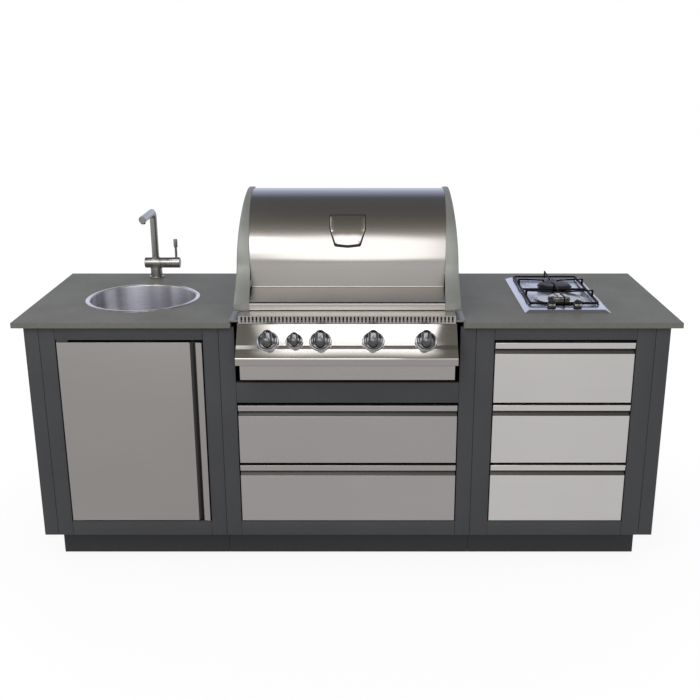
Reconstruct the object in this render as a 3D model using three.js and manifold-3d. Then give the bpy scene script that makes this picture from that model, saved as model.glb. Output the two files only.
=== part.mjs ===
// An outdoor kitchen island: three framed cabinets under one worktop, with a round bar sink and
// tap on the left, a built-in gas grill in the middle and a two-burner hob on the right.
// Millimetres, +Z up, front towards -Y. Inside the functions y is measured back from the front
// edge of the worktop; the island group then stands over the middle of its own footprint.
import * as THREE from "three";
import { mergeVertices } from "three/addons/utils/BufferGeometryUtils.js";
import Module from "manifold-3d";

const wasm = await Module();
wasm.setup();

// Driving dimensions of the whole island
const worktopWidth = 2290;
const worktopDepth = 748;
const worktopThickness = 20;
const worktopHeight = 914;
const worktopArris = 1.5;
const sideOverhang = 35;
const frontOverhang = 20;
const backOverhang = 20;
const centreModuleWidth = 886;
const endPanelThickness = 50;
const grillGapWidth = 796;
const rearStripDepth = 103;
const kickHeight = 101.5;

// Clearances and small shared sizes
const seat = 0.3;
const jointGap = 0.5;
const cutOver = 5;
const weldDistance = 1e-4;
const sheet = 2;
const footSides = 6;
const tinySides = 8;
const smallSides = 12;
const roundSides = 18;
const bigSides = 40;
const arcSteps = 5;
const quarterTurn = Math.PI / 2;
const degree = Math.PI / 180;

// Places that follow from the driving dimensions
const worktopUnderside = worktopHeight - worktopThickness;
const outerX = worktopWidth / 2 - sideOverhang;
const sideX = outerX - endPanelThickness;
const seamX = centreModuleWidth / 2;
const grillGapX = grillGapWidth / 2;
const cabinetBack = worktopDepth - backOverhang;
const stripFront = worktopDepth - rearStripDepth;
const sideSpan = sideX - seamX;
const sideCentre = (sideX + seamX) / 2;

// Finishes
const finish = (color, roughness, metalness) => () =>
  new THREE.MeshStandardMaterial({ color, roughness, metalness });
const charcoalBoard = finish("#3a3a3c", 0.7, 0);
const darkBoard = finish("#2b2b2d", 0.75, 0);
const stoneTop = finish("#6f6f6a", 0.6, 0);
const brushedSteel = finish("#b9b5ae", 0.35, 0.9);
const satinSteel = finish("#a9a9a6", 0.45, 0.85);
const castAluminium = finish("#8d8e8b", 0.55, 0.6);
const chromePlate = finish("#c9c9c9", 0.12, 1);
const blackEnamel = finish("#1b1b1c", 0.5, 0.1);
const castIron = finish("#262524", 0.8, 0.3);
const brass = finish("#b08d4a", 0.4, 0.9);

// Solids

// A closed geometry as a solid, with its shared corners merged.
function solidOf(geometry) {
  geometry.deleteAttribute("normal");
  geometry.deleteAttribute("uv");
  const merged = mergeVertices(geometry, weldDistance);
  return new wasm.Manifold(
    new wasm.Mesh({
      numProp: 3,
      vertProperties: merged.attributes.position.array,
      triVerts: new Uint32Array(merged.index.array),
    }),
  );
}

// A place and turn as a matrix.
function spot(x, y, z, turnX = 0, turnY = 0, turnZ = 0) {
  const turn = new THREE.Quaternion().setFromEuler(new THREE.Euler(turnX, turnY, turnZ));
  return new THREE.Matrix4().compose(new THREE.Vector3(x, y, z), turn, new THREE.Vector3(1, 1, 1));
}
const alongX = (x, y, z) => spot(x, y, z, 0, quarterTurn);
const alongY = (x, y, z) => spot(x, y, z, -quarterTurn);

// A box between two values on each axis.
function block([x0, x1], [y0, y1], [z0, z1], place = spot(0, 0, 0)) {
  const geometry = new THREE.BoxGeometry(x1 - x0, y1 - y0, z1 - z0);
  geometry.translate((x0 + x1) / 2, (y0 + y1) / 2, (z0 + z1) / 2);
  return solidOf(geometry.applyMatrix4(place));
}

function shapeOf(outline) {
  return new THREE.Shape(outline.map(([a, b]) => new THREE.Vector2(a, b)));
}

// An outline of (y, z) points carried from x0 to x1, of (x, z) points carried from y0 to y1, and
// of (x, y) points carried from z0 to z1.
const yzBasis = new THREE.Matrix4().set(0, 0, 1, 0, 1, 0, 0, 0, 0, 1, 0, 0, 0, 0, 0, 1);
const xzBasis = new THREE.Matrix4().set(1, 0, 0, 0, 0, 0, -1, 0, 0, 1, 0, 0, 0, 0, 0, 1);
function extruded(shape, depth) {
  return new THREE.ExtrudeGeometry(shape, { depth, bevelEnabled: false, curveSegments: arcSteps });
}
function prismX(outline, [x0, x1]) {
  return solidOf(extruded(shapeOf(outline), x1 - x0).applyMatrix4(yzBasis).translate(x0, 0, 0));
}
function prismY(outline, [y0, y1]) {
  return solidOf(extruded(shapeOf(outline), y1 - y0).applyMatrix4(xzBasis).translate(0, y1, 0));
}
function prismZ(outline, [z0, z1], place = spot(0, 0, 0)) {
  const geometry = extruded(shapeOf(outline), z1 - z0).translate(0, 0, z0);
  return solidOf(geometry.applyMatrix4(place));
}

// A flat plate of (x, y) outline whose upper and lower edges are eased all round by a bevel.
function slab(shape, [z0, z1], bevel, place = spot(0, 0, 0), bevelSegments = 1) {
  const geometry = new THREE.ExtrudeGeometry(shape, {
    depth: z1 - z0 - 2 * bevel,
    bevelEnabled: true,
    bevelSize: bevel,
    bevelThickness: bevel,
    bevelOffset: -bevel,
    bevelSegments,
    curveSegments: arcSteps,
  });
  return solidOf(geometry.translate(0, 0, z0 + bevel).applyMatrix4(place));
}

// A profile of (radius, height) points, from the bottom outwards and up, turned about Z.
function turned(profile, place, sides = roundSides) {
  const points = profile.map(([radius, height]) => new THREE.Vector2(radius, height));
  const geometry = new THREE.LatheGeometry(points, sides);
  return solidOf(geometry.rotateX(quarterTurn).applyMatrix4(place));
}
function rod(radius, [z0, z1], place, sides = roundSides) {
  const profile = [[0, z0], [radius, z0], [radius, z1], [0, z1]];
  return turned(profile, place, sides);
}
function ring(inner, outer, [z0, z1], place, sides = roundSides) {
  const profile = [[inner, z0], [outer, z0], [outer, z1], [inner, z1], [inner, z0]];
  return turned(profile, place, sides);
}

const joined = (parts) => parts.reduce((sum, part) => sum.add(part));
const cut = (body, tools) => tools.reduce((rest, tool) => rest.subtract(tool), body);
const counted = (count) => Array.from({ length: count }, (_, index) => index);

// Outlines

function arc([a, b], radius, from, to, steps) {
  return counted(steps + 1).map((i) => {
    const angle = from + ((to - from) * i) / steps;
    return [a + radius * Math.cos(angle), b + radius * Math.sin(angle)];
  });
}

// A polyline whose points may carry a third value, the radius that their corner is rounded to.
function rounded(points, steps = arcSteps) {
  return points.flatMap(([a, b, radius], i) => {
    if (!radius) return [[a, b]];
    const corner = new THREE.Vector2(a, b);
    const back = new THREE.Vector2(...points[i - 1].slice(0, 2)).sub(corner).normalize();
    const ahead = new THREE.Vector2(...points[i + 1].slice(0, 2)).sub(corner).normalize();
    const halfAngle = Math.acos(back.dot(ahead)) / 2;
    const reach = radius / Math.tan(halfAngle);
    const start = corner.clone().addScaledVector(back, reach);
    const end = corner.clone().addScaledVector(ahead, reach);
    const curve = new THREE.QuadraticBezierCurve(start, corner, end);
    return curve.getPoints(steps).map((p) => [p.x, p.y]);
  });
}

// The same line moved sideways to its left, with mitred corners.
function shifted(points, distance, closed = false) {
  const count = points.length;
  return points.map((point, i) => {
    const here = new THREE.Vector2(...point);
    const before = closed || i > 0 ? points[(i + count - 1) % count] : null;
    const after = closed || i < count - 1 ? points[(i + 1) % count] : null;
    const sides = [];
    if (before) sides.push(here.clone().sub(new THREE.Vector2(...before)).normalize());
    if (after) sides.push(new THREE.Vector2(...after).sub(here).normalize());
    const normals = sides.map((side) => new THREE.Vector2(-side.y, side.x));
    const sum = normals.reduce((total, normal) => total.clone().add(normal));
    const stretch = normals.length > 1 ? 1 + normals[0].dot(normals[1]) : 1;
    return [here.x + (sum.x * distance) / stretch, here.y + (sum.y * distance) / stretch];
  });
}

// Folded sheet: the band between a line and its shifted copy.
function band(points, thickness) {
  return [...points, ...shifted(points, thickness).reverse()];
}

function rectangle([x0, x1], [y0, y1]) {
  return [[x0, y0], [x1, y0], [x1, y1], [x0, y1]];
}

function withHoles(outline, holes) {
  const shape = shapeOf(outline);
  shape.holes = holes.map((hole) => new THREE.Path(hole.map(([a, b]) => new THREE.Vector2(a, b))));
  return shape;
}

function circle(centre, radius, sides = bigSides) {
  return arc(centre, radius, 0, 2 * Math.PI, sides).slice(0, -1);
}

// Scene

const island = new THREE.Group();

// A moving group whose origin lies on its own joint.
function joint(parent, x, y, z, turnX = 0) {
  const group = new THREE.Group();
  group.position.set(x, y, z);
  group.rotation.x = turnX;
  parent.add(group);
  return group;
}

// A named mesh; a solid made in the island's own frame is brought into its group's frame first.
function piece(name, solid, material, parent = island) {
  const made = solid.getMesh();
  const geometry = new THREE.BufferGeometry();
  geometry.setAttribute("position", new THREE.BufferAttribute(made.vertProperties, 3));
  geometry.setIndex(new THREE.BufferAttribute(made.triVerts, 1));
  if (parent !== island) {
    parent.updateMatrixWorld(true);
    geometry.applyMatrix4(parent.matrixWorld.clone().invert());
  }
  const mesh = new THREE.Mesh(geometry, material());
  mesh.name = name;
  parent.add(mesh);
  return mesh;
}

// Cabinets: board carcasses behind face frames of stiles and rails

const frameThickness = 20;
const stileWidth = 54;
const rightStileWidth = 63.5;
const bottomRailHeight = 55.5;
const topRailHeight = 47;
const centreRailHeight = 75;
const grillOpeningHeight = 202;
const boardThickness = 15;
const stretcherWidth = 80;
const grillShelfDrop = 37;
const ventSlot = { width: 90, height: 12, pitch: 120, count: 4, rise: 450 };

const faceBack = frontOverhang + frameThickness;
const carcassFront = faceBack;
const bottomRailTop = kickHeight + bottomRailHeight;
const topRailBottom = worktopUnderside - topRailHeight;
const centreRailTop = worktopUnderside - grillOpeningHeight;
const centreRailBottom = centreRailTop - centreRailHeight;

const modules = {
  left: {
    x: [-sideX, -seamX],
    stile: stileWidth,
    openings: [[bottomRailTop, topRailBottom]],
  },
  centre: {
    x: [-seamX, seamX],
    stile: stileWidth,
    openings: [
      [bottomRailTop, centreRailBottom],
      [centreRailTop, worktopUnderside + cutOver],
    ],
  },
  right: {
    x: [seamX, sideX],
    stile: rightStileWidth,
    openings: [[bottomRailTop, topRailBottom]],
  },
};
const trimmed = ([low, high], gap) => [low + gap, high - gap];
const openingX = (module) => trimmed(module.x, module.stile);

function faceFrame(module) {
  const depth = [frontOverhang, faceBack];
  const board = block(trimmed(module.x, jointGap), depth, [kickHeight, worktopUnderside]);
  const through = [depth[0] - cutOver, depth[1] + cutOver];
  return cut(
    board,
    module.openings.map((opening) => block(openingX(module), through, opening)),
  );
}

// Runners: a channel on the cabinet, a bar on the drawer that slides in it

const runnerClear = 98;
const runner = {
  stileClear: 2,
  depth: 12,
  wall: 2,
  height: 40,
  play: 0.5,
  front: 6,
  length: cabinetBack - carcassFront - runnerClear,
  barShort: 50,
  packerLength: 40,
  packerInset: 20,
};
const drawerRise = 25;
const drawerRunnerRise = 70;

// The channel's side of a module: -1 at its left wall, 1 at its right wall.
function towards(side, wall, distance) {
  return side < 0 ? wall + distance : wall - distance;
}
const ordered = (a, b) => (a < b ? [a, b] : [b, a]);

function runnerChannel(module, side, z) {
  const stileEdge = openingX(module)[side < 0 ? 0 : 1];
  const boardFace = towards(side, module.x[side < 0 ? 0 : 1], boardThickness);
  const back = towards(side, stileEdge, runner.stileClear);
  const inner = towards(side, back, runner.wall);
  const mouth = towards(side, back, runner.depth);
  const low = z - runner.height / 2;
  const high = z + runner.height / 2;
  const front = carcassFront + runner.front;
  const length = [front, front + runner.length];
  const channel = cut(block(ordered(back, mouth), length, [low, high]), [
    block(
      ordered(inner, towards(side, mouth, cutOver)),
      [length[0] - cutOver, length[1] + cutOver],
      [low + runner.wall, high - runner.wall],
    ),
  ]);
  const packers = [
    front + runner.packerInset,
    length[1] - runner.packerInset - runner.packerLength,
  ].map((y) =>
    block(ordered(towards(side, boardFace, -runner.wall), back), [y, y + runner.packerLength], [
      low,
      high,
    ]),
  );
  return joined([channel, ...packers]);
}

// Drawer fronts, stacked in an opening from the bottom up

const drawerGap = 8;
const drawerBottomGap = 3;
const drawerTopGap = 9;
const drawerSideGap = 4;

function drawerStack([low, high], count) {
  const free = high - low - drawerBottomGap - drawerTopGap - (count - 1) * drawerGap;
  return counted(count).map((i) => {
    const bottom = low + drawerBottomGap + i * (free / count + drawerGap);
    return [bottom, bottom + free / count];
  });
}
const drawerSets = {
  centre: drawerStack(modules.centre.openings[0], 2),
  right: drawerStack(modules.right.openings[0], 3),
};
const runnerHeight = ([bottom]) => bottom + drawerRunnerRise;

function carcass(name) {
  const module = modules[name];
  const x = trimmed(module.x, jointGap);
  const inside = trimmed(module.x, boardThickness);
  const y = [carcassFront, cabinetBack];
  const box = cut(block(x, y, [kickHeight, worktopUnderside]), [
    block(
      inside,
      [y[0] - cutOver, y[1] - boardThickness],
      [kickHeight + boardThickness, worktopUnderside + cutOver],
    ),
  ]);
  const top = [worktopUnderside - boardThickness, worktopUnderside];
  const fit = [inside[0] - jointGap, inside[1] + jointGap];
  const rails = [];
  if (name !== "centre") rails.push(block(fit, [y[0], y[0] + stretcherWidth], top));
  if (name === "centre") {
    const shelfTop = centreRailTop - grillShelfDrop;
    const shelf = [shelfTop - boardThickness, shelfTop];
    rails.push(block(fit, [y[0], y[1] - jointGap], shelf));
  }
  const drawers = drawerSets[name] || [];
  const channels = drawers.flatMap((drawer) =>
    [-1, 1].map((side) => runnerChannel(module, side, runnerHeight(drawer))),
  );
  const first = (x[0] + x[1]) / 2 - ((ventSlot.count - 1) * ventSlot.pitch) / 2;
  const vents = counted(ventSlot.count).map((i) => {
    const middle = first + i * ventSlot.pitch;
    const z = kickHeight + ventSlot.rise;
    return block(
      [middle - ventSlot.width / 2, middle + ventSlot.width / 2],
      [y[1] - boardThickness - cutOver, y[1] + cutOver],
      [z, z + ventSlot.height],
    );
  });
  return cut(joined([box, ...rails, ...channels]), vents);
}

for (const name of Object.keys(modules)) {
  piece(name + "_carcass", carcass(name), darkBoard);
  piece(name + "_face_frame", faceFrame(modules[name]), charcoalBoard);
}
for (const [name, x] of [
  ["left_end_panel", [-outerX, -sideX]],
  ["right_end_panel", [sideX, outerX]],
])
  piece(
    name,
    block(x, [frontOverhang, cabinetBack], [kickHeight, worktopUnderside]),
    charcoalBoard,
  );

// Plinths: recessed board rings on levelling feet

const plinth = { recess: 45, sideInset: 53, floorGap: 8, board: 15, corner: 55 };
const foot = { inset: 32, padRadius: 17, padHeight: 5, stemRadius: 6, stemReach: 20 };

function plinthRing(name) {
  const module = modules[name];
  const x = [...trimmed(module.x, jointGap)];
  if (name === "left") x[0] = -outerX + plinth.sideInset;
  if (name === "right") x[1] = outerX - plinth.sideInset;
  const y = [frontOverhang + plinth.recess, cabinetBack - plinth.recess];
  const z = [plinth.floorGap, kickHeight];
  const hollow = block(trimmed(x, plinth.board), trimmed(y, plinth.board), [
    z[0] - cutOver,
    z[1] + cutOver,
  ]);
  const edges = (axis) => [
    [axis[0], axis[0] + plinth.corner],
    [axis[1] - plinth.corner, axis[1]],
  ];
  const corners = edges(x).flatMap((cx) => edges(y).map((cy) => block(cx, cy, z)));
  const footAt = (axis) => [axis[0] + foot.inset, axis[1] - foot.inset];
  const feet = footAt(x).flatMap((fx) =>
    footAt(y).map((fy) => {
      const pad = rod(foot.padRadius, [0, foot.padHeight], spot(fx, fy, 0), tinySides);
      const stem = [foot.padHeight - seat, foot.stemReach];
      return pad.add(rod(foot.stemRadius, stem, spot(fx, fy, 0), footSides));
    }),
  );
  return joined([cut(block(x, y, z), [hollow]), ...corners, ...feet]);
}
for (const name of Object.keys(modules)) piece(name + "_plinth", plinthRing(name), darkBoard);

// Edge pull, the same on every front: an overhanging lip, then a V groove for the fingers.
// Points are (distance from the edge, depth behind the face).

const pull = { lip: 22, lipProud: 5, lipFall: 4, groove: 20, grooveDepth: 14, creaseShare: 0.2 };
const frontThickness = 20;
const weep = { radius: 3, inset: 40 };

function pullOutline(length) {
  return [
    [0, frontThickness],
    [0, -pull.lipProud],
    [pull.lip, -pull.lipProud + pull.lipFall],
    [pull.lip + pull.groove * pull.creaseShare, pull.grooveDepth],
    [pull.lip + pull.groove, 0],
    [length, 0],
    [length, frontThickness],
  ];
}

// Drawers: folded steel fronts on open steel boxes

const drawerBox = { wall: 2.5, height: 140, short: 10 };

function drawerFront(x, [bottom, top]) {
  const outline = pullOutline(top - bottom).map(([u, v]) => [frontOverhang + v, top - u]);
  const hollow = prismX(shifted(outline, sheet, true), trimmed(x, sheet));
  const holes = trimmed(x, weep.inset).map((holeX) => {
    const place = spot(holeX, frontOverhang + frontThickness / 2, bottom);
    return rod(weep.radius, [-cutOver, cutOver], place, tinySides);
  });
  return cut(prismX(outline, x), [hollow, ...holes]);
}

function drawerBody(module, drawer) {
  const [stile0, stile1] = openingX(module);
  const side = runner.stileClear + runner.depth + 2 * runner.play;
  const x = [stile0 + side, stile1 - side];
  const y = [faceBack + seat, faceBack + seat + runner.length - drawerBox.short];
  const z = [drawer[0] + drawerRise, drawer[0] + drawerRise + drawerBox.height];
  const box = cut(block(x, y, z), [
    block(trimmed(x, drawerBox.wall), trimmed(y, drawerBox.wall), [
      z[0] + drawerBox.wall,
      z[1] + cutOver,
    ]),
  ]);
  const half = runner.height / 2 - runner.wall - runner.play;
  const middle = runnerHeight(drawer);
  const front = carcassFront + runner.front;
  const bars = [-1, 1].map((sign) => {
    const stileEdge = sign < 0 ? stile0 : stile1;
    const outer = towards(sign, stileEdge, runner.stileClear + runner.wall + runner.play);
    const inner = towards(sign, stileEdge, side + drawerBox.wall / 2);
    return block(ordered(outer, inner), [front, front + runner.length - runner.barShort], [
      middle - half,
      middle + half,
    ]);
  });
  return joined([box, ...bars]);
}

const drawerNames = { centre: ["lower", "upper"], right: ["lower", "middle", "upper"] };
for (const [side, names] of Object.entries(drawerNames))
  names.forEach((level, i) => {
    const drawer = drawerSets[side][i];
    const name = side + "_" + level + "_drawer";
    const slide = joint(island, 0, 0, 0);
    const x = trimmed(openingX(modules[side]), drawerSideGap);
    piece(name + "_front", drawerFront(x, drawer), brushedSteel, slide);
    piece(name + "_box", drawerBody(modules[side], drawer), satinSteel, slide);
  });

// Door of the sink cabinet, on pivot pins at its left edge

const doorGap = 4;
const doorTopGap = 9;
const pivot = { inset: 13, radius: 4, reach: 14, play: 0.3, plate: 40, hold: 30, block: 22 };

const doorX = trimmed(openingX(modules.left), doorGap);
const doorZ = [bottomRailTop + doorGap, topRailBottom - doorTopGap];
const pivotX = doorX[0] + pivot.inset;
const pivotY = frontOverhang + frontThickness / 2;

function doorPanel() {
  const outline = pullOutline(doorX[1] - doorX[0]).map(([u, v]) => [
    doorX[1] - u,
    frontOverhang + v,
  ]);
  const hollow = prismZ(shifted(outline, -sheet, true), trimmed(doorZ, sheet));
  const width = [doorX[0] - cutOver, doorX[0] + pivot.hold];
  const depth = [frontOverhang - cutOver, faceBack + cutOver];
  const solidEnds = [
    block(width, depth, [doorZ[0] - cutOver, doorZ[0] + pivot.block]),
    block(width, depth, [doorZ[1] - pivot.block, doorZ[1] + cutOver]),
  ];
  const holes = [
    [doorZ[0] - cutOver, doorZ[0] + pivot.reach + seat],
    [doorZ[1] - pivot.reach - seat, doorZ[1] + cutOver],
  ].map((z) => rod(pivot.radius + pivot.play, z, spot(pivotX, pivotY, 0), smallSides));
  const weepZ = [doorZ[0] - cutOver, doorZ[0] + cutOver];
  const weepHole = rod(weep.radius, weepZ, spot(doorX[1] - weep.inset, pivotY, 0), tinySides);
  return cut(prismZ(outline, doorZ), [cut(hollow, solidEnds), ...holes, weepHole]);
}

function doorPivot(rail, edge, tip) {
  const plateX = [doorX[0], doorX[0] + pivot.plate];
  const plate = block(plateX, trimmed([frontOverhang, faceBack], sheet), ordered(rail, edge));
  return plate.add(rod(pivot.radius, ordered(edge, tip), spot(pivotX, pivotY, 0), smallSides));
}

const doorSwing = joint(island, pivotX, pivotY, 0);
piece("door", doorPanel(), brushedSteel, doorSwing);
piece(
  "lower_door_pivot",
  doorPivot(bottomRailTop, doorZ[0] - seat, doorZ[0] + pivot.reach),
  satinSteel,
);
piece(
  "upper_door_pivot",
  doorPivot(topRailBottom, doorZ[1] + seat, doorZ[1] - pivot.reach),
  satinSteel,
);

// Worktop: two slabs and the strip behind the grill

const offCentre = { sink: 14.5, tap: 31.5, hob: 24 };
const fromBack = { tap: 66, hob: 102 };
const sinkRadius = sideSpan * 0.338;
const rimBearing = 8.5;
const bowlInset = 14;
const tapBase = 29;
// The sink stands between the front stretcher and the tap, nearer to the front.
const sinkShare = 0.2344;
const sinkRoom = [
  carcassFront + stretcherWidth + sinkRadius - bowlInset,
  worktopDepth - fromBack.tap - tapBase - sinkRadius,
];
const sink = {
  x: -(sideCentre + offCentre.sink),
  y: sinkRoom[0] + (sinkRoom[1] - sinkRoom[0]) * sinkShare,
  rimRadius: sinkRadius,
  rimWidth: 16,
  rimHeight: 3.5,
  cutRadius: sinkRadius - rimBearing,
  depth: 176,
  corner: 42,
  draft: 4,
  floorFall: 5,
  wall: 2,
  drainRadius: 42,
};
const tap = {
  x: -(sideCentre + offCentre.tap),
  y: worktopDepth - fromBack.tap,
  holeRadius: 17.5,
  baseRadius: tapBase,
  baseHeight: 8,
  columnRadius: 23,
  barrelHeight: 60,
  barrelRadius: 21,
  barrelLeft: 43,
  barrelSplit: 20,
  barrelRight: 98,
  spoutRadius: 14,
  spoutHeight: 281,
  spoutReach: 195,
  bendRadius: 24,
  socketDepth: 16,
  shankRadius: 16,
  shankLength: 70,
  nutRadius: 27,
  nutHeight: 8,
};
const hobFront = 119;
const hob = {
  x: sideCentre + offCentre.hob,
  y: [hobFront, worktopDepth - fromBack.hob],
  width: 303,
  lip: 10,
  rise: 10,
  slope: 16,
  bodyDepth: 58,
  sheet: 2,
  wellInset: 30,
  frontStrip: 71,
  wellDrop: 6,
};
const hobX = [hob.x - hob.width / 2, hob.x + hob.width / 2];
const hobBodyX = trimmed(hobX, hob.lip);
const hobBodyY = trimmed(hob.y, hob.lip);
const hobCutPlay = 2;

const worktopZ = [worktopUnderside, worktopHeight];
const worktopY = [0, worktopDepth];
piece(
  "left_worktop",
  slab(
    withHoles(rectangle([-worktopWidth / 2, -grillGapX], worktopY), [
      circle([sink.x, sink.y], sink.cutRadius),
      circle([tap.x, tap.y], tap.holeRadius, roundSides),
    ]),
    worktopZ,
    worktopArris,
  ),
  stoneTop,
);
piece(
  "right_worktop",
  slab(
    withHoles(rectangle([grillGapX, worktopWidth / 2], worktopY), [
      rectangle(trimmed(hobBodyX, -hobCutPlay), trimmed(hobBodyY, -hobCutPlay)),
    ]),
    worktopZ,
    worktopArris,
  ),
  stoneTop,
);
piece(
  "rear_worktop",
  slab(
    shapeOf(rectangle(trimmed([-grillGapX, grillGapX], jointGap), [stripFront, worktopDepth])),
    worktopZ,
    worktopArris,
  ),
  stoneTop,
);

// Sink: a pressed bowl whose rolled rim rests on the worktop

function sinkBowl() {
  const rimInner = sink.rimRadius - sink.rimWidth;
  const wallFoot = rimInner - sink.draft;
  const floor = -sink.depth;
  const cornerArc = arc(
    [wallFoot - sink.corner, floor + sink.corner],
    sink.corner,
    0,
    -quarterTurn,
    arcSteps,
  );
  const inner = [
    [sink.rimRadius, seat + sink.wall / 2],
    [sink.rimRadius - sink.rimWidth / 4, sink.rimHeight],
    [rimInner + sink.rimWidth / 4, sink.rimHeight],
    [rimInner, 0],
    ...cornerArc,
    [sink.drainRadius, floor - sink.floorFall],
  ];
  const outer = [
    [sink.drainRadius, floor - sink.floorFall - sink.wall],
    ...arc(
      [wallFoot - sink.corner, floor + sink.corner],
      sink.corner + sink.wall,
      -quarterTurn,
      0,
      arcSteps,
    ),
    [rimInner + sink.wall, seat],
    [sink.rimRadius, seat],
  ];
  const place = spot(sink.x, sink.y, worktopHeight);
  return turned([...outer, ...inner, outer[0]], place, bigSides);
}

const waste = {
  flange: 50,
  flangeHeight: 2,
  body: 40,
  bodyDepth: 44,
  bore: 36,
  pipe: 20,
  pipeBore: 17,
  pipeLength: 70,
};
const wasteTop = worktopHeight - sink.depth - sink.floorFall;

function sinkWaste() {
  const bottom = -waste.bodyDepth;
  const profile = [
    [waste.pipeBore, bottom - waste.pipeLength],
    [waste.pipe, bottom - waste.pipeLength],
    [waste.pipe, bottom],
    [waste.body, bottom],
    [waste.body, seat],
    [waste.flange, seat + waste.flangeHeight],
    [waste.bore, seat + waste.flangeHeight],
    [waste.bore, bottom + waste.flangeHeight],
    [waste.pipeBore, bottom + waste.flangeHeight],
    [waste.pipeBore, bottom - waste.pipeLength],
  ];
  return turned(profile, spot(sink.x, sink.y, wasteTop));
}
piece("sink_bowl", sinkBowl(), brushedSteel);
piece("sink_waste", sinkWaste(), satinSteel);

// Tap: a column with a cross barrel; the spout swivels, the cap turns and its pin lever tilts

const barrelZ = worktopHeight + tap.barrelHeight;
const cap = { bore: 16.5, boreDepth: 24, play: 0.4, ballRadius: 8, slotEnd: 5 };
const lever = { x: 83, stem: 5, grip: 8, gripFrom: 62, top: 96, tilt: 12, play: 0.5 };

function tapBody() {
  const place = spot(tap.x, tap.y, worktopHeight);
  const column = turned(
    [
      [0, seat],
      [tap.baseRadius, seat],
      [tap.baseRadius, tap.baseHeight / 2],
      [tap.columnRadius, tap.baseHeight],
      [tap.columnRadius, tap.barrelHeight - tap.barrelRadius - seat],
      [tap.barrelSplit, tap.barrelHeight - tap.barrelRadius - seat],
      [tap.barrelSplit, tap.barrelHeight],
      [0, tap.barrelHeight],
    ],
    place,
  );
  const barrelPlace = alongX(tap.x, tap.y, barrelZ);
  const barrel = rod(tap.barrelRadius, [-tap.barrelLeft, tap.barrelSplit], barrelPlace);
  const spigot = rod(
    cap.bore - cap.play,
    [0, tap.barrelSplit + cap.boreDepth - seat],
    barrelPlace,
  );
  const shank = rod(tap.shankRadius, [-tap.shankLength, 2 * seat], place, smallSides);
  const nutTop = -worktopThickness - seat;
  const nut = rod(tap.nutRadius, [nutTop - tap.nutHeight, nutTop], place, footSides);
  const socket = rod(
    tap.spoutRadius + seat,
    [tap.barrelHeight + tap.barrelRadius - tap.socketDepth, tap.barrelHeight + tap.barrelRadius * 2],
    place,
  );
  return cut(joined([column, barrel, spigot, shank, nut]), [socket]);
}

function tapSpout() {
  const foot = barrelZ + tap.barrelRadius - tap.socketDepth + seat;
  const armZ = worktopHeight + tap.spoutHeight - tap.spoutRadius;
  const corner = new THREE.Vector3(tap.x, tap.y, armZ);
  const bendStart = corner.clone().setZ(armZ - tap.bendRadius);
  const bendEnd = corner.clone().setY(tap.y - tap.bendRadius);
  const armEnd = corner.clone().setY(tap.y - tap.spoutReach);
  const section = new THREE.Shape();
  section.absarc(0, 0, tap.spoutRadius, 0, 2 * Math.PI);
  const bend = new THREE.ExtrudeGeometry(section, {
    extrudePath: new THREE.QuadraticBezierCurve3(bendStart, corner, bendEnd),
    steps: arcSteps,
    curveSegments: roundSides / 2,
    bevelEnabled: false,
  });
  const overlap = seat;
  const post = rod(tap.spoutRadius, [foot, bendStart.z + overlap], spot(tap.x, tap.y, 0));
  const armPlace = alongY(tap.x, armEnd.y, armZ);
  const arm = rod(tap.spoutRadius, [0, bendEnd.y - armEnd.y + overlap], armPlace);
  const outletRadius = tap.spoutRadius * 0.7;
  const outletY = armEnd.y + tap.spoutRadius;
  const outlet = rod(
    outletRadius,
    [armZ - tap.spoutRadius - outletRadius / 2, armZ],
    spot(tap.x, outletY, 0),
    smallSides,
  );
  return joined([solidOf(bend), post, arm, outlet]);
}

function tapCap() {
  const place = alongX(tap.x, tap.y, barrelZ);
  const shell = rod(tap.barrelRadius, [tap.barrelSplit + jointGap, tap.barrelRight], place);
  const bore = rod(cap.bore, [tap.barrelSplit - cutOver, tap.barrelSplit + cap.boreDepth], place);
  const ballSeat = new THREE.SphereGeometry(cap.ballRadius + cap.play, smallSides, tinySides);
  ballSeat.translate(tap.x + lever.x, tap.y, barrelZ);
  const lean = Math.tan(lever.tilt * degree) * tap.barrelRadius;
  const slot = block(
    [
      tap.x + lever.x - lever.stem - lever.play,
      tap.x + lever.x + lever.stem + lever.play + lean,
    ],
    [tap.y - lever.stem - lever.play, tap.y + lever.stem + lever.play],
    [barrelZ, barrelZ + tap.barrelRadius + cutOver],
  );
  return cut(shell, [bore, solidOf(ballSeat), slot]);
}

function tapLever() {
  const ball = new THREE.SphereGeometry(cap.ballRadius, smallSides, tinySides);
  ball.translate(tap.x + lever.x, tap.y, barrelZ);
  const place = spot(tap.x + lever.x, tap.y, barrelZ);
  const stem = rod(lever.stem, [0, lever.gripFrom], place, smallSides);
  const grip = rod(lever.grip, [lever.gripFrom - seat, lever.top], place, smallSides);
  return joined([solidOf(ball), stem, grip]);
}

piece("tap_body", tapBody(), satinSteel);
piece("tap_spout", tapSpout(), satinSteel, joint(island, tap.x, tap.y, barrelZ));
const capTurn = joint(island, tap.x, tap.y, barrelZ);
piece("tap_cap", tapCap(), satinSteel, capTurn);
piece("tap_lever", tapLever(), satinSteel, joint(capTurn, lever.x, 0, 0));

// Hob: a pressed tray with a well, two burners, a bar pan support and two knobs

const trayTop = worktopHeight + hob.rise;
const wellFloor = trayTop - hob.wellDrop;
const wellX = trimmed(hobX, hob.wellInset);
const wellY = [hob.y[0] + hob.frontStrip, hob.y[1] - hob.wellInset];

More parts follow.
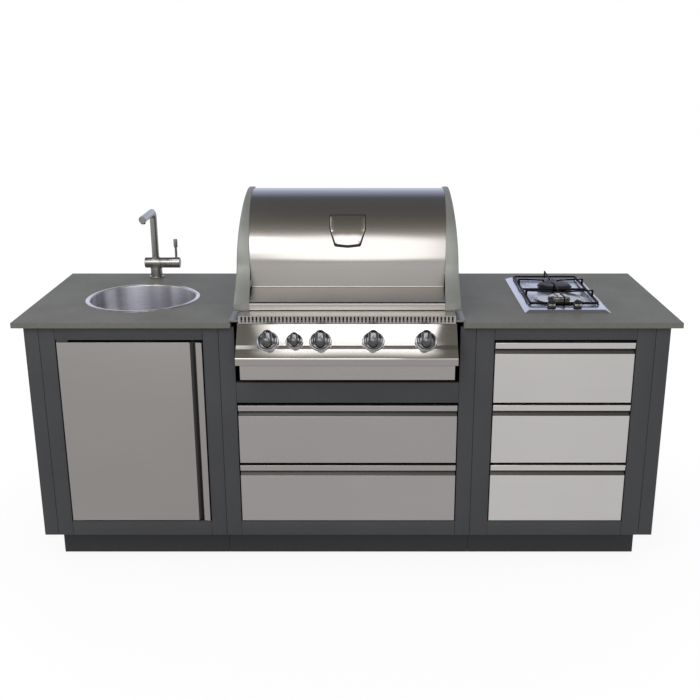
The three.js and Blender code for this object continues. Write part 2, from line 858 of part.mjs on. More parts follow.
// The pan support has a front and a rear bay, with a burner in each.
const supportInset = { front: 77, back: 29 };
const support = {
  width: 251,
  y: [hob.y[0] + supportInset.front, hob.y[1] - supportInset.back],
  bar: 10,
  rise: 3,
  fingerWidth: 6,
  fingerTop: 34,
  fingerDrop: 5,
  fingerDepth: 6,
  gapRadius: 24,
};
const supportMiddle = (support.y[0] + support.y[1]) / 2;
const bay = supportMiddle - support.y[0] - support.bar * 1.5;
const frontBay = support.y[0] + support.bar;
const rearBay = supportMiddle + support.bar / 2;
const hobBurners = {
  front: {
    aside: 0,
    y: frontBay + bay * 0.481,
    dish: bay * 0.455,
    crown: bay * 0.21,
    cap: bay * 0.184,
    capHeight: 7,
    capTaper: 4,
  },
  rear: {
    aside: 16,
    y: rearBay + bay * 0.35,
    dish: bay * 0.338,
    crown: bay * 0.256,
    cap: bay * 0.312,
    capHeight: 8,
    capTaper: 6,
  },
};
const crownHeight = 10;
const hobCup = { radius: 34, drop: 36, neck: 14, neckDrop: 12 };
const hobKnobSetBack = 45;
const hobKnob = {
  shares: [-0.52, 0.58],
  y: hobFront + hobKnobSetBack,
  spread: 84,
  radius: 15,
  skirt: 6,
  height: 26,
  gripWidth: 10,
  stem: 4,
  rise: 1,
};
const hobKnobX = hobKnob.shares.map((share) => hob.x - hobKnob.stem * 2 + share * hobKnob.spread);

function hobTray() {
  const rim = [
    [hobX[0], worktopHeight + seat],
    [hobX[1], worktopHeight + seat],
    [hobX[1] - hob.slope, trayTop],
    [hobX[0] + hob.slope, trayTop],
  ];
  const side = [
    [hob.y[0], worktopHeight + seat],
    [hob.y[1], worktopHeight + seat],
    [hob.y[1] - hob.slope, trayTop],
    [hob.y[0] + hob.slope, trayTop],
  ];
  const lid = prismY(rim, hob.y).intersect(prismX(side, hobX));
  const bodyZ = [worktopHeight - hob.bodyDepth, worktopHeight + 2 * seat];
  const body = block(hobBodyX, hobBodyY, bodyZ);
  const hollow = block(trimmed(hobBodyX, hob.sheet), trimmed(hobBodyY, hob.sheet), [
    bodyZ[0] - cutOver,
    wellFloor - hob.sheet,
  ]);
  const well = block(wellX, wellY, [wellFloor, trayTop + cutOver]);
  const holes = Object.values(hobBurners).map((burner) =>
    rod(
      hobCup.radius + seat,
      [wellFloor - cutOver, trayTop],
      spot(hob.x + burner.aside, burner.y, 0),
    ),
  );
  return cut(lid.add(body), [hollow, well, ...holes]);
}

function hobBurner(burner) {
  const place = spot(hob.x + burner.aside, burner.y, wellFloor);
  const profile = [
    [0, -hobCup.drop - hobCup.neckDrop],
    [hobCup.neck, -hobCup.drop - hobCup.neckDrop],
    [hobCup.neck, -hobCup.drop],
    [hobCup.radius, -hobCup.drop / 2],
    [hobCup.radius, seat],
    [burner.dish, seat + hob.wellDrop],
    [burner.dish, seat + hob.wellDrop + hob.sheet / 2],
    [burner.crown, seat + hob.sheet],
    [burner.crown, crownHeight],
    [0, crownHeight],
  ];
  const top = [
    [0, crownHeight - seat],
    [burner.cap, crownHeight - seat],
    [burner.cap, crownHeight + burner.capHeight / 2],
    [burner.cap - burner.capTaper, crownHeight + burner.capHeight],
    [0, crownHeight + burner.capHeight],
  ];
  return turned(profile, place).add(turned(top, place));
}

function panSupport() {
  const x = [hob.x - support.width / 2, hob.x + support.width / 2];
  const low = wellFloor + support.rise + hob.wellDrop;
  const z = [low, low + support.bar];
  const tip = worktopHeight + support.fingerTop;
  const middle = supportMiddle;
  const innerX = trimmed(x, support.bar);
  const frame = cut(block(x, support.y, z), [
    block(innerX, [support.y[0] + support.bar, middle - support.bar / 2], [
      z[0] - cutOver,
      z[1] + cutOver,
    ]),
    block(innerX, [middle + support.bar / 2, support.y[1] - support.bar], [
      z[0] - cutOver,
      z[1] + cutOver,
    ]),
  ]);
  // A finger's side view: up from the bar, then sloping down towards the burner.
  const finger = (from, to) => {
    const sign = Math.sign(to - from);
    return [
      [from, z[0]],
      [from, tip],
      [from + sign * support.bar, tip],
      [to, tip - support.fingerDrop],
      [to, tip - support.fingerDrop - support.fingerDepth],
      [from + sign * support.bar, tip - support.fingerDepth - support.fingerDrop],
      [from + sign * support.bar, z[0]],
    ];
  };
  const thin = (centre) => [centre - support.fingerWidth / 2, centre + support.fingerWidth / 2];
  const fingers = Object.values(hobBurners).flatMap((burner) => {
    const isFront = burner.y < middle;
    const near = isFront ? support.y[0] : middle + support.bar / 2 - support.bar;
    const far = isFront ? middle - support.bar / 2 + support.bar : support.y[1];
    return [
      prismY(finger(x[0], hob.x - support.gapRadius), thin(burner.y)),
      prismY(finger(x[1], hob.x + support.gapRadius), thin(burner.y)),
      prismX(finger(near, burner.y - support.gapRadius), thin(hob.x)),
      prismX(finger(far, burner.y + support.gapRadius), thin(hob.x)),
    ];
  });
  const footX = [x[0], x[1] - support.bar];
  const footY = [support.y[0], support.y[1] - support.bar];
  const feet = footX.flatMap((fx) =>
    footY.map((fy) =>
      block([fx, fx + support.bar], [fy, fy + support.bar], [trayTop + seat, z[0] + seat]),
    ),
  );
  return joined([frame, ...fingers, ...feet]);
}

function hobKnobSolid() {
  const skirt = turned(
    [
      [0, hobKnob.rise],
      [hobKnob.radius, hobKnob.rise],
      [hobKnob.radius, hobKnob.skirt],
      [hobKnob.radius - hobKnob.rise, hobKnob.skirt + hobKnob.rise],
      [0, hobKnob.skirt + hobKnob.rise],
    ],
    spot(0, 0, 0),
  );
  const grip = rod(hobKnob.radius - hobKnob.rise, [hobKnob.skirt, hobKnob.height], spot(0, 0, 0));
  const bar = block(
    [-hobKnob.gripWidth / 2, hobKnob.gripWidth / 2],
    [-hobKnob.radius, hobKnob.radius],
    [hobKnob.skirt, hobKnob.height + hobKnob.rise],
  );
  const bore = rod(hobKnob.stem + seat, [0, hobKnob.skirt + hobKnob.stem], spot(0, 0, 0), tinySides);
  return skirt.add(grip.intersect(bar)).subtract(bore);
}

// The knobs' valves hang under the tray, with their stems standing up through it.
function hobValve(x) {
  const place = spot(x, hobKnob.y, trayTop);
  const size = hobKnob.radius;
  const under = wellFloor - trayTop - hob.sheet;
  const body = block([-size, size], [-size, size], [under - 2 * size, under + seat], place);
  return body.add(
    rod(hobKnob.stem, [under - size, hobKnob.skirt + hobKnob.stem - seat], place, tinySides),
  );
}

piece("hob_tray", joined([hobTray(), ...hobKnobX.map(hobValve)]), brushedSteel);
piece("hob_front_burner", hobBurner(hobBurners.front), brushedSteel);
piece("hob_rear_burner", hobBurner(hobBurners.rear), blackEnamel);
piece("pan_support", panSupport(), blackEnamel, joint(island, hob.x, support.y[0], trayTop));
["left", "right"].forEach((name, i) => {
  const axis = joint(island, hobKnobX[i], hobKnob.y, trayTop);
  axis.add(meshOf("hob_" + name + "_knob", hobKnobSolid(), chromePlate));
});

// A mesh whose solid is already in its group's own frame.
function meshOf(name, solid, material) {
  const holder = new THREE.Group();
  const mesh = piece(name, solid, material, holder);
  holder.remove(mesh);
  return mesh;
}

// Grill firebox: an open steel box hung in the worktop by its flange

// Heights of the grill's parts, below and above the top of the worktop
const drop = {
  floor: 157,
  ledge: 22,
  burner: 76,
  sillFoot: 3,
  panelTop: 4,
  noseTop: 98,
  noseBottom: 123,
};
const rise = {
  rim: 25.7,
  backTop: 91,
  hinge: 61,
  rack: 154,
  strip: 52,
  crease: 175,
  dome: 124,
  lidBack: 101,
  bow: 136,
};
const grillFit = { stripGap: 5, flangeLap: 10, burner: 40, rail: 40, rack: 40, drip: 50 };
const grill = {
  halfWidth: 372,
  front: 62,
  back: stripFront - grillFit.stripGap,
  floor: worktopHeight - drop.floor,
  wall: 4,
  rim: worktopHeight + rise.rim,
  backTop: worktopHeight + rise.backTop,
  flangeHalf: 403,
  flangeFront: 11,
  flangeBack: stripFront + grillFit.flangeLap,
  flangeThickness: 6,
};
const drain = { x: 100, y: [300, 360] };
const ledge = { depth: 12, thickness: 5, z: worktopHeight - drop.ledge };
const tent = { half: 45, below: 6, fall: 25, thickness: 3 };
const burner = {
  xs: [-267, -89, 89, 267],
  radius: 19,
  z: worktopHeight - drop.burner,
  from: 82,
  to: grill.back - grillFit.burner,
  throat: 11,
  throatFrom: 48,
  stud: 5,
};
const hinge = {
  y: grill.flangeBack,
  z: worktopHeight + rise.hinge,
  earRadius: 20,
  earThickness: 6,
  pin: 6,
  play: 0.3,
  pinReach: 14,
};
const trayRail = {
  inner: 352,
  outer: 365,
  thickness: 3,
  drop: 19,
  front: 66,
  back: grill.back - grillFit.rail,
};
const grillBox = { x: [-grill.halfWidth, grill.halfWidth], y: [grill.front, grill.back] };

function heatTent(x) {
  const apex = ledge.z - tent.below;
  const line = [
    [x - tent.half, apex - tent.fall],
    [x, apex],
    [x + tent.half, apex - tent.fall],
  ];
  return prismY(band(line, -tent.thickness), trimmed(grillBox.y, grill.wall / 2));
}

function hingeEar(sign) {
  const inner = sign * (grill.halfWidth - hinge.earThickness);
  const outer = sign * grill.halfWidth;
  const plate = [
    [hinge.y - hinge.earRadius * 2, grill.rim - cutOver],
    [grill.back, grill.rim - cutOver],
    ...arc([hinge.y, hinge.z], hinge.earRadius, -quarterTurn / 2, Math.PI, arcSteps),
  ];
  const ear = prismX(plate, ordered(inner, outer));
  const pin = rod(
    hinge.pin,
    ordered(inner, sign * (grill.halfWidth + hinge.pinReach)),
    alongX(0, hinge.y, hinge.z),
    smallSides,
  );
  return ear.add(pin);
}

function firebox() {
  const shell = cut(block(grillBox.x, grillBox.y, [grill.floor, grill.rim]), [
    block(trimmed(grillBox.x, grill.wall), trimmed(grillBox.y, grill.wall), [
      grill.floor + grill.wall,
      grill.rim + cutOver,
    ]),
  ]);
  const backPlate = block(grillBox.x, [grill.back - grill.wall, grill.back], [
    grill.rim - seat,
    grill.backTop,
  ]);
  const flangeX = [-grill.flangeHalf, grill.flangeHalf];
  const flangeZ = [worktopHeight, worktopHeight + grill.flangeThickness];
  const flange = cut(block(flangeX, [grill.flangeFront, grill.flangeBack], flangeZ), [
    block(trimmed(grillBox.x, grill.wall / 2), trimmed(grillBox.y, grill.wall / 2), [
      flangeZ[0] - cutOver,
      flangeZ[1] + cutOver,
    ]),
  ]);
  const insideX = trimmed(grillBox.x, grill.wall / 2);
  const ledgeZ = [ledge.z, ledge.z + ledge.thickness];
  const ledges = [
    block(insideX, [grill.front + grill.wall / 2, grill.front + grill.wall + ledge.depth], ledgeZ),
    block(insideX, [grill.back - grill.wall - ledge.depth, grill.back - grill.wall / 2], ledgeZ),
  ];
  const rails = [-1, 1].map((sign) =>
    joined([
      block(
        ordered(sign * (trayRail.outer - trayRail.thickness), sign * trayRail.outer),
        [trayRail.front, trayRail.back],
        [grill.floor - trayRail.drop, grill.floor + seat],
      ),
      block(
        ordered(sign * trayRail.inner, sign * trayRail.outer),
        [trayRail.front, trayRail.back],
        [grill.floor - trayRail.drop, grill.floor - trayRail.drop + trayRail.thickness],
      ),
    ]),
  );
  const throats = burner.xs.map((x) =>
    rod(
      burner.throat + seat,
      [grill.front - cutOver, grill.front + grill.wall + cutOver],
      alongY(x, 0, burner.z),
      smallSides,
    ),
  );
  const studs = burner.xs.map((x) =>
    rod(
      burner.stud + seat,
      [grill.back - grill.wall - cutOver, grill.back + cutOver],
      alongY(x, 0, burner.z),
      smallSides,
    ),
  );
  const drainHole = block([-drain.x, drain.x], drain.y, [
    grill.floor - cutOver,
    grill.floor + grill.wall + cutOver,
  ]);
  const tents = burner.xs.map(heatTent);
  const ears = [-1, 1].map(hingeEar);
  return cut(joined([shell, backPlate, flange, ...ledges, ...rails, ...tents, ...ears]), [
    ...throats,
    ...studs,
    drainHole,
  ]);
}
piece("firebox", firebox(), satinSteel);

function tubeBurner(x) {
  const profile = [
    [0, burner.throatFrom],
    [burner.throat, burner.throatFrom],
    [burner.throat, burner.from],
    [burner.radius, burner.from + burner.throat],
    [burner.radius, burner.to],
    [burner.stud, burner.to],
    [burner.stud, grill.back + burner.stud],
    [0, grill.back + burner.stud],
  ];
  const inlet = rod(
    burner.throat * 0.7,
    [burner.throatFrom - cutOver, burner.from],
    alongY(x, 0, burner.z),
    smallSides,
  );
  return turned(profile, alongY(x, 0, burner.z), smallSides).subtract(inlet);
}
burner.xs.forEach((x, i) => piece("burner_" + (i + 1), tubeBurner(x), satinSteel));

// Cooking grates, resting on the firebox ledges

const grate = { count: 3, gap: 2, height: 12, frame: 9, bar: 7, slots: 11, sideClear: 4 };
const grateEnds = trimmed(grillBox.y, grill.wall + grate.gap * 2);
const grateZ = [ledge.z + ledge.thickness + seat, ledge.z + ledge.thickness + seat + grate.height];

function cookingGrate(index) {
  const span = trimmed(grillBox.x, grill.wall + grate.sideClear);
  const width = (span[1] - span[0] - (grate.count - 1) * grate.gap) / grate.count;
  const start = span[0] + index * (width + grate.gap);
  const x = [start, start + width];
  const pitch = (width - 2 * grate.frame + grate.bar) / grate.slots;
  const slots = counted(grate.slots).map((i) => {
    const from = x[0] + grate.frame + i * pitch;
    return block([from, from + pitch - grate.bar], trimmed(grateEnds, grate.frame * 2), [
      grateZ[0] - cutOver,
      grateZ[1] + cutOver,
    ]);
  });
  return cut(block(x, grateEnds, grateZ), slots);
}
["left", "centre", "right"].forEach((name, i) => {
  const lift = joint(island, 0, grateEnds[0], grateZ[0]);
  piece(name + "_grate", cookingGrate(i), castIron, lift);
});

// Warming rack: bent rods on legs that stand on the firebox rim

const rackDepth = 160;
const rack = {
  half: 346,
  y: [grill.back - grillFit.rack - rackDepth, grill.back - grillFit.rack],
  z: worktopHeight + rise.rack,
  rod: 4,
  bars: 7,
  footing: 368,
};

function warmingRack() {
  const length = [rack.y[0] - rack.rod, rack.y[1] + rack.rod];
  const ends = [-1, 1].flatMap((sign) => {
    const x = sign * rack.half;
    const foot = sign * rack.footing;
    return [
      rod(rack.rod, length, alongY(x, 0, rack.z), tinySides),
      ...rack.y.map((y) =>
        joined([
          rod(rack.rod, [grill.rim + seat, rack.z], spot(foot, y, 0), tinySides),
          rod(rack.rod, ordered(x, foot + sign * rack.rod), alongX(0, y, rack.z), tinySides),
        ]),
      ),
    ];
  });
  const bars = counted(rack.bars).map((i) => {
    const y = rack.y[0] + ((rack.y[1] - rack.y[0]) * i) / (rack.bars - 1);
    return rod(rack.rod, [-rack.half, rack.half], alongX(0, y, rack.z), tinySides);
  });
  return joined([...ends, ...bars]);
}
piece("warming_rack", warmingRack(), chromePlate);

// Vent sill: a folded channel with a row of upright slots, in front of the lid

const sill = {
  half: 370,
  front: 0,
  topFront: -6,
  back: 59,
  top: grill.rim + seat,
  foot: worktopHeight - drop.sillFoot,
  sheet: 3,
};
const slot = { width: 6, pitch: 12.8, rows: 57, low: 4.5, high: 24.5 };

function ventSill() {
  const x = [-sill.half, sill.half];
  const face = block(x, [sill.front, sill.front + sill.sheet], [sill.foot, sill.top]);
  const top = block(x, [sill.topFront, sill.back], [sill.top - sill.sheet, sill.top]);
  const flangeTop = worktopHeight + grill.flangeThickness;
  const cheeks = [-1, 1].map((sign) =>
    block(
      ordered(sign * (sill.half - sill.sheet), sign * sill.half),
      [grill.flangeFront, sill.back],
      [flangeTop + seat, sill.top],
    ).add(
      block(
        ordered(sign * (sill.half - sill.sheet), sign * sill.half),
        [sill.front, grill.flangeFront + seat],
        [flangeTop + seat, sill.top],
      ),
    ),
  );
  const first = -((slot.rows - 1) * slot.pitch) / 2;
  const slots = counted(slot.rows).map((i) => {
    const middle = first + i * slot.pitch;
    return block(
      [middle - slot.width / 2, middle + slot.width / 2],
      [sill.front - cutOver, sill.front + sill.sheet + cutOver],
      [sill.foot + slot.low, sill.foot + slot.high],
    );
  });
  return cut(joined([face, top, ...cheeks]), slots);
}
piece("vent_sill", ventSill(), brushedSteel);

// Control panel: a folded housing that slopes to a rolled nose, with a bezel round each knob

const panel = {
  half: 373,
  top: worktopHeight - drop.panelTop,
  reach: 96,
  noseTop: worktopHeight - drop.noseTop,
  noseBottom: worktopHeight - drop.noseBottom,
  noseRadius: 24,
  returnDepth: 18,
  sheet: 3,
  cheekFoot: grill.floor,
};
// The upper part of the slope is set back a little, with a soft step down to the nose.
const setBack = { depth: 1.5, from: 0.6, to: 0.67 };
const panelDrop = panel.top - panel.noseTop;
const panelTurn = Math.atan2(panelDrop, panel.reach);
const onSlope = (share, depth) => [
  -panel.reach * share + depth * Math.sin(panelTurn),
  panel.top - panelDrop * share - depth * Math.cos(panelTurn),
];
const ignition = { name: "ignition_knob", x: -177, size: 0.78 };
const knobs = [
  { name: "knob_1", x: burner.xs[0], size: 1 },
  ignition,
  { name: "knob_2", x: burner.xs[1], size: 1 },
  { name: "knob_3", x: burner.xs[2], size: 1 },
  { name: "knob_4", x: burner.xs[3], size: 1 },
];
const knobShare = 0.5;
const knobY = -panel.reach * knobShare;
const knobZ = panel.top - panelDrop * knobShare;
const bezel = { outer: 38, inner: 33.5, height: 6, chamfer: 2, sunk: 3 };
const knob = {
  skirt: 32.5,
  foot: 1.5,
  skirtHeight: 8,
  skirtTaper: 2.5,
  gripWidth: 40,
  gripLength: 58,
  gripTop: 42,
  gripEase: 8,
};
const valve = { stem: 4, play: 0.4, stemTop: 14, half: 13, from: -8, to: -52, switchTo: -34 };
const onPanel = (x) => spot(x, knobY, knobZ, panelTurn);

// A valve or switch behind the panel, with the stem that carries its knob.
function valveBody(x, bottom, top) {
  const width = [-valve.half, valve.half];
  const body = block(width, width, [bottom, top], onPanel(x));
  return body.add(rod(valve.stem, [top - seat, valve.stemTop], onPanel(x), smallSides));
}

function controlPanel() {
  const backEdge = grill.front - seat;
  const nose = [
    [backEdge, panel.top],
    [0, panel.top],
    onSlope(setBack.from, setBack.depth),
    onSlope(setBack.to, 0),
    [-panel.reach, panel.noseTop, panel.noseRadius],
    [-panel.reach, panel.noseBottom],
  ];
  const line = rounded([...nose, [-panel.reach + panel.returnDepth, panel.noseBottom]]);
  const x = [-panel.half, panel.half];
  const skin = prismX(band(line, panel.sheet), x);
  const cheekOutline = [
    ...rounded([...nose, [-panel.reach, panel.noseBottom]]),
    [grill.flangeFront, panel.cheekFoot],
    [backEdge, panel.cheekFoot],
  ];
  const cheeks = [-1, 1].map((sign) =>
    prismX(cheekOutline, ordered(sign * (panel.half - panel.sheet), sign * panel.half)),
  );
  const bezels = knobs.map(({ x: knobX, size }) => {
    const [outer, inner] = [bezel.outer * size, bezel.inner * size];
    const profile = [
      [inner, -bezel.sunk],
      [outer, -bezel.sunk],
      [outer, bezel.height - bezel.chamfer],
      [outer - bezel.chamfer, bezel.height],
      [inner, bezel.height],
      [inner, -bezel.sunk],
    ];
    return turned(profile, onPanel(knobX));
  });
  const holes = burner.xs.map((knobX) =>
    rod(valve.stem + valve.play, [-panel.sheet * 2, cutOver], onPanel(knobX), smallSides),
  );
  const ignitionSwitch = valveBody(ignition.x, valve.switchTo, -panel.sheet / 2);
  return cut(joined([skin, ...cheeks, ...bezels, ignitionSwitch]), holes);
}
piece("control_panel", controlPanel(), brushedSteel);

// Gas manifold: a pipe with four valves, their stems and jets

const manifold = { radius: 12, overrun: 45, inlet: 9, inletDrop: 26, jet: 5 };

function gasManifold() {
  const axis = new THREE.Vector3(0, 0, valve.to).applyMatrix4(onPanel(0));
  const pipe = rod(
    manifold.radius,
    [burner.xs[0] - manifold.overrun, burner.xs[3] + manifold.overrun],
    alongX(0, axis.y, axis.z),
    smallSides,
  );
  const inlet = rod(
    manifold.inlet,
    [axis.z - manifold.inletDrop, axis.z],
    spot(burner.xs[3] + manifold.overrun - manifold.radius, axis.y, 0),
    tinySides,
  );
  const jets = burner.xs.map((x) =>
    rod(manifold.jet, [knobY + valve.half, burner.throatFrom - seat], alongY(x, 0, burner.z), tinySides),
  );
  const valves = burner.xs.map((x) => valveBody(x, valve.to, valve.from));
  return joined([pipe, inlet, ...jets, ...valves]);
}
piece("gas_manifold", gasManifold(), brass);

function grillKnob(size) {
  const skirt = turned(
    [
      [0, knob.foot],
      [knob.skirt * size, knob.foot],
      [knob.skirt * size, knob.skirtHeight - knob.skirtTaper],
      [(knob.skirt - knob.skirtTaper) * size, knob.skirtHeight],
      [0, knob.skirtHeight],
    ],
    spot(0, 0, 0),
  );
  const radius = (knob.gripWidth / 2) * size;
  const half = (knob.gripLength / 2) * size - radius;
  const stadium = [
    ...arc([0, half], radius, 0, Math.PI, arcSteps),
    ...arc([0, -half], radius, Math.PI, 2 * Math.PI, arcSteps),
  ];
  const bottom = knob.skirtHeight - knob.gripEase - seat;
  const gripZ = [bottom, knob.skirtHeight + (knob.gripTop - knob.skirtHeight) * size];
  const grip = slab(shapeOf(stadium), gripZ, knob.gripEase * size, spot(0, 0, 0), 2);
  const bore = rod(
    valve.stem + valve.play,
    [-cutOver, valve.stemTop + valve.play],
    spot(0, 0, 0),
    smallSides,
  );
  const above = block([-knob.skirt, knob.skirt], [-knob.skirt, knob.skirt], [knob.foot, knob.gripTop]);
  return skirt.add(grip.intersect(above)).subtract(bore);
}
for (const { name, x, size } of knobs) {
  const axis = joint(island, x, knobY, knobZ, panelTurn);
  axis.add(meshOf(name, grillKnob(size), chromePlate));
}

// Drip tray: a shallow pan on the firebox rails, with its front below the control panel

const dripHang = { face: 54, gap: 4, pan: 45 };
const drip = {
  half: 373,
  front: 15,
  thickness: 5,
  z: [grill.floor - dripHang.face, grill.floor - dripHang.gap],
  panHalf: 348,
  panFloor: grill.floor - dripHang.pan,
  flangeHalf: 360,
  flangeThickness: 2.5,
  back: grill.back - grillFit.drip,
  wall: 2,
};

function dripTray() {
  const railTop = grill.floor - trayRail.drop + trayRail.thickness;
  const flangeZ = [railTop + seat, railTop + seat + drip.flangeThickness];
  const face = block([-drip.half, drip.half], [drip.front, drip.front + drip.thickness], drip.z);
  const panX = [-drip.panHalf, drip.panHalf];
  const panY = [drip.front + drip.thickness - seat, drip.back];
  const pan = cut(block(panX, panY, [drip.panFloor, flangeZ[1]]), [
    block(trimmed(panX, drip.wall), [drip.front + drip.thickness, drip.back - drip.wall], [
      drip.panFloor + drip.wall,
      flangeZ[1] + cutOver,
    ]),
  ]);
  const flanges = [-1, 1].map((sign) =>
    block(
      ordered(sign * (drip.panHalf - drip.wall / 2), sign * drip.flangeHalf),
      [trayRail.front, drip.back],
      flangeZ,
    ),
  );
  return joined([face, pan, ...flanges]);
}
piece("drip_tray", dripTray(), satinSteel, joint(island, 0, drip.front, drip.panFloor));

// Lid: a rolled skin with a scooped grip, between two bowed end castings

const domeFront = 160;
const domeOverhang = 55;
const domeBack = stripFront + domeOverhang;
const lid = {
  foot: grill.rim + seat,
  skinFront: 61,
  castingFront: 57,
  stripTop: worktopHeight + rise.strip,
  stripEase: 2.5,
  step: 6,
  stepRise: 4,
  scoopWall: 165,
  scoopRadius: 12,
  scoopRise: 29,
  crease: worktopHeight + rise.crease,
  domeY: (domeFront + domeBack) / 2,
  domeZ: worktopHeight + rise.dome,
  domeRadius: (domeBack - domeFront) / 2,
  backFoot: worktopHeight + rise.lidBack,
  proud: 5,
  skin: 3,
  castingWall: 10,
  half: 389,
  flare: 4,
  bowRadius: 1750,
  bowZ: worktopHeight + rise.bow,
  rimInnerLow: 337,
  rimInnerHigh: 350,
  domeSteps: 22,
  bowSteps: 5,
};
const lidFoot = lid.foot + seat;
const lidTop = lid.domeZ + lid.domeRadius + lid.proud;
const creaseAngle = (radius) => Math.PI - Math.asin((lid.crease - lid.domeZ) / radius);

function domeArc(radius) {
  return arc([lid.domeY, lid.domeZ], radius, creaseAngle(radius), 0, lid.domeSteps);
}

// The skin's outer line, from the bottom of the grip strip over the dome to the back.
function skinLine(foot, ease = 0) {
  const floor = lid.stripTop + lid.stepRise;
  const eased = ease ? [[lid.skinFront, lid.stripTop - ease]] : [];
  return [
    ...rounded([
      [lid.skinFront, foot],
      ...eased,
      [lid.skinFront + ease, lid.stripTop],
      [lid.skinFront + lid.step, lid.stripTop],
      [lid.skinFront + lid.step, floor],
      [lid.scoopWall, floor + lid.scoopRise, lid.scoopRadius],
      [lid.scoopWall, lid.crease],
    ]).slice(0, -1),
    ...domeArc(lid.domeRadius),
    [lid.domeY + lid.domeRadius, lid.backFoot],
  ];
}

// Half-width of the castings' bowed outer face at a height, and of their inner rim edge.
function bowLine(inset) {
  return counted(lid.bowSteps + 1).map((i) => {
    const z = lid.bowZ + ((lidTop + cutOver - lid.bowZ) * i) / lid.bowSteps;
    const sag = lid.bowRadius - Math.sqrt(lid.bowRadius ** 2 - (z - lid.bowZ) ** 2);
    return [lid.half - inset - sag, z];
  });
}
function rimEdge(z) {
  const share = (z - lid.foot) / (lidTop - lid.foot);
  return lid.rimInnerLow + (lid.rimInnerHigh - lid.rimInnerLow) * share;
}
const mirrored = (sign, outline) => outline.map(([x, z]) => [sign * x, z]);

function lidCasting(sign) {
  const low = lid.foot - cutOver;
  const high = lidTop + cutOver;
  const widest = lid.half + lid.flare;
  const whole = [[rimEdge(low), low], [widest, low], ...bowLine(0), [rimEdge(high), high]];
  const inner = [
    [rimEdge(low) - lid.castingWall, low],
    [widest - lid.castingWall, low],
    ...bowLine(lid.castingWall),
    [rimEdge(high) - lid.castingWall, high],
  ];
  const radius = lid.domeRadius + lid.proud;
  const dome = domeArc(radius);
  const brow = new THREE.QuadraticBezierCurve(
    new THREE.Vector2(lid.castingFront, lid.stripTop),
    new THREE.Vector2(dome[0][0] - lid.proud * 2, (lid.crease + lid.stripTop) / 2 + lid.proud * 2),
    new THREE.Vector2(...dome[0]),
  );
  const side = [
    [lid.castingFront, lidFoot],
    ...brow.getPoints(arcSteps).map((p) => [p.x, p.y]),
    ...dome.slice(1),
    [lid.domeY + radius, lid.backFoot],
    ...arc([hinge.y, hinge.z], hinge.z - lidFoot, 0, -quarterTurn, arcSteps),
  ];
  const y = [lid.castingFront - cutOver, lid.domeY + radius + cutOver];
  const solid = prismY(mirrored(sign, whole), y).intersect(
    prismX(side, ordered(sign * (lid.rimInnerLow - lid.castingWall), sign * widest)),
  );
  const under = shifted(skinLine(low), -lid.skin - lid.proud / 2);
  const last = under[under.length - 1];
  const cavity = [...under, [y[1], last[1]], [y[1], low]];
  const hollow = prismY(mirrored(sign, inner), y).intersect(
    prismX(cavity, ordered(sign * (lid.rimInnerLow - 2 * lid.castingWall), sign * widest)),
  );
  const pinHole = rod(
    hinge.pin + hinge.play,
    ordered(sign * (lid.half - 2 * lid.castingWall), sign * (grill.halfWidth + hinge.pinReach + seat)),
    alongX(0, hinge.y, hinge.z),
    smallSides,
  );
  return cut(solid, [hollow, pinHole]);
}

// A slot behind the grip strip, folded in under the front edge of the scoop's floor.
const gripSlot = { depth: 13, height: 2.5, wall: 3 };

function lidSkin() {
  const sheetBand = band(skinLine(lidFoot, lid.stripEase), -lid.skin);
  const x = [-lid.rimInnerHigh, lid.rimInnerHigh];
  const front = lid.skinFront + lid.step;
  const back = front + gripSlot.depth;
  const floorRun = lid.scoopWall - front;
  const underFloor = (y) =>
    lid.stripTop + lid.stepRise + (lid.scoopRise * (y - front)) / floorRun - lid.skin / 2;
  const fold = [
    [lid.skinFront + lid.skin / 2, lid.stripTop - gripSlot.wall],
    [back + gripSlot.wall, lid.stripTop - gripSlot.wall],
    [back + gripSlot.wall, underFloor(back + gripSlot.wall)],
    [front + lid.skin / 2, underFloor(front + lid.skin / 2)],
    [front, lid.stripTop - seat],
    [lid.skinFront + lid.skin / 2, lid.stripTop - seat],
  ];
  const mouth = [lid.stripTop, lid.stripTop + gripSlot.height];
  const trim = [lid.foot - cutOver, lidTop + cutOver].map((z) => [rimEdge(z) - seat, z]);
  const outline = [...mirrored(-1, trim).reverse(), ...trim];
  const y = [lid.skinFront - cutOver, lid.domeY + lid.domeRadius + cutOver];
  const wide = trimmed(x, -cutOver);
  return prismX(sheetBand, wide)
    .add(prismX(fold, wide))
    .subtract(block(wide, [lid.skinFront - cutOver, back], mouth))
    .intersect(prismY(outline, y));
}

const lidHinge = joint(island, 0, hinge.y, hinge.z);
piece("lid_skin", lidSkin(), brushedSteel, lidHinge);
piece("left_lid_casting", lidCasting(-1), castAluminium, lidHinge);
piece("right_lid_casting", lidCasting(1), castAluminium, lidHinge);

island.position.y = -(worktopDepth - panel.reach) / 2;

export default island;
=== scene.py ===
# Outdoor kitchen island: board cabinets under a stone worktop, with a round sink and tap, a
# built-in gas grill, a two-burner hob, and steel door and drawer fronts.
# Shapes are written in millimetres, with y measured back from the worktop's front edge.
import math

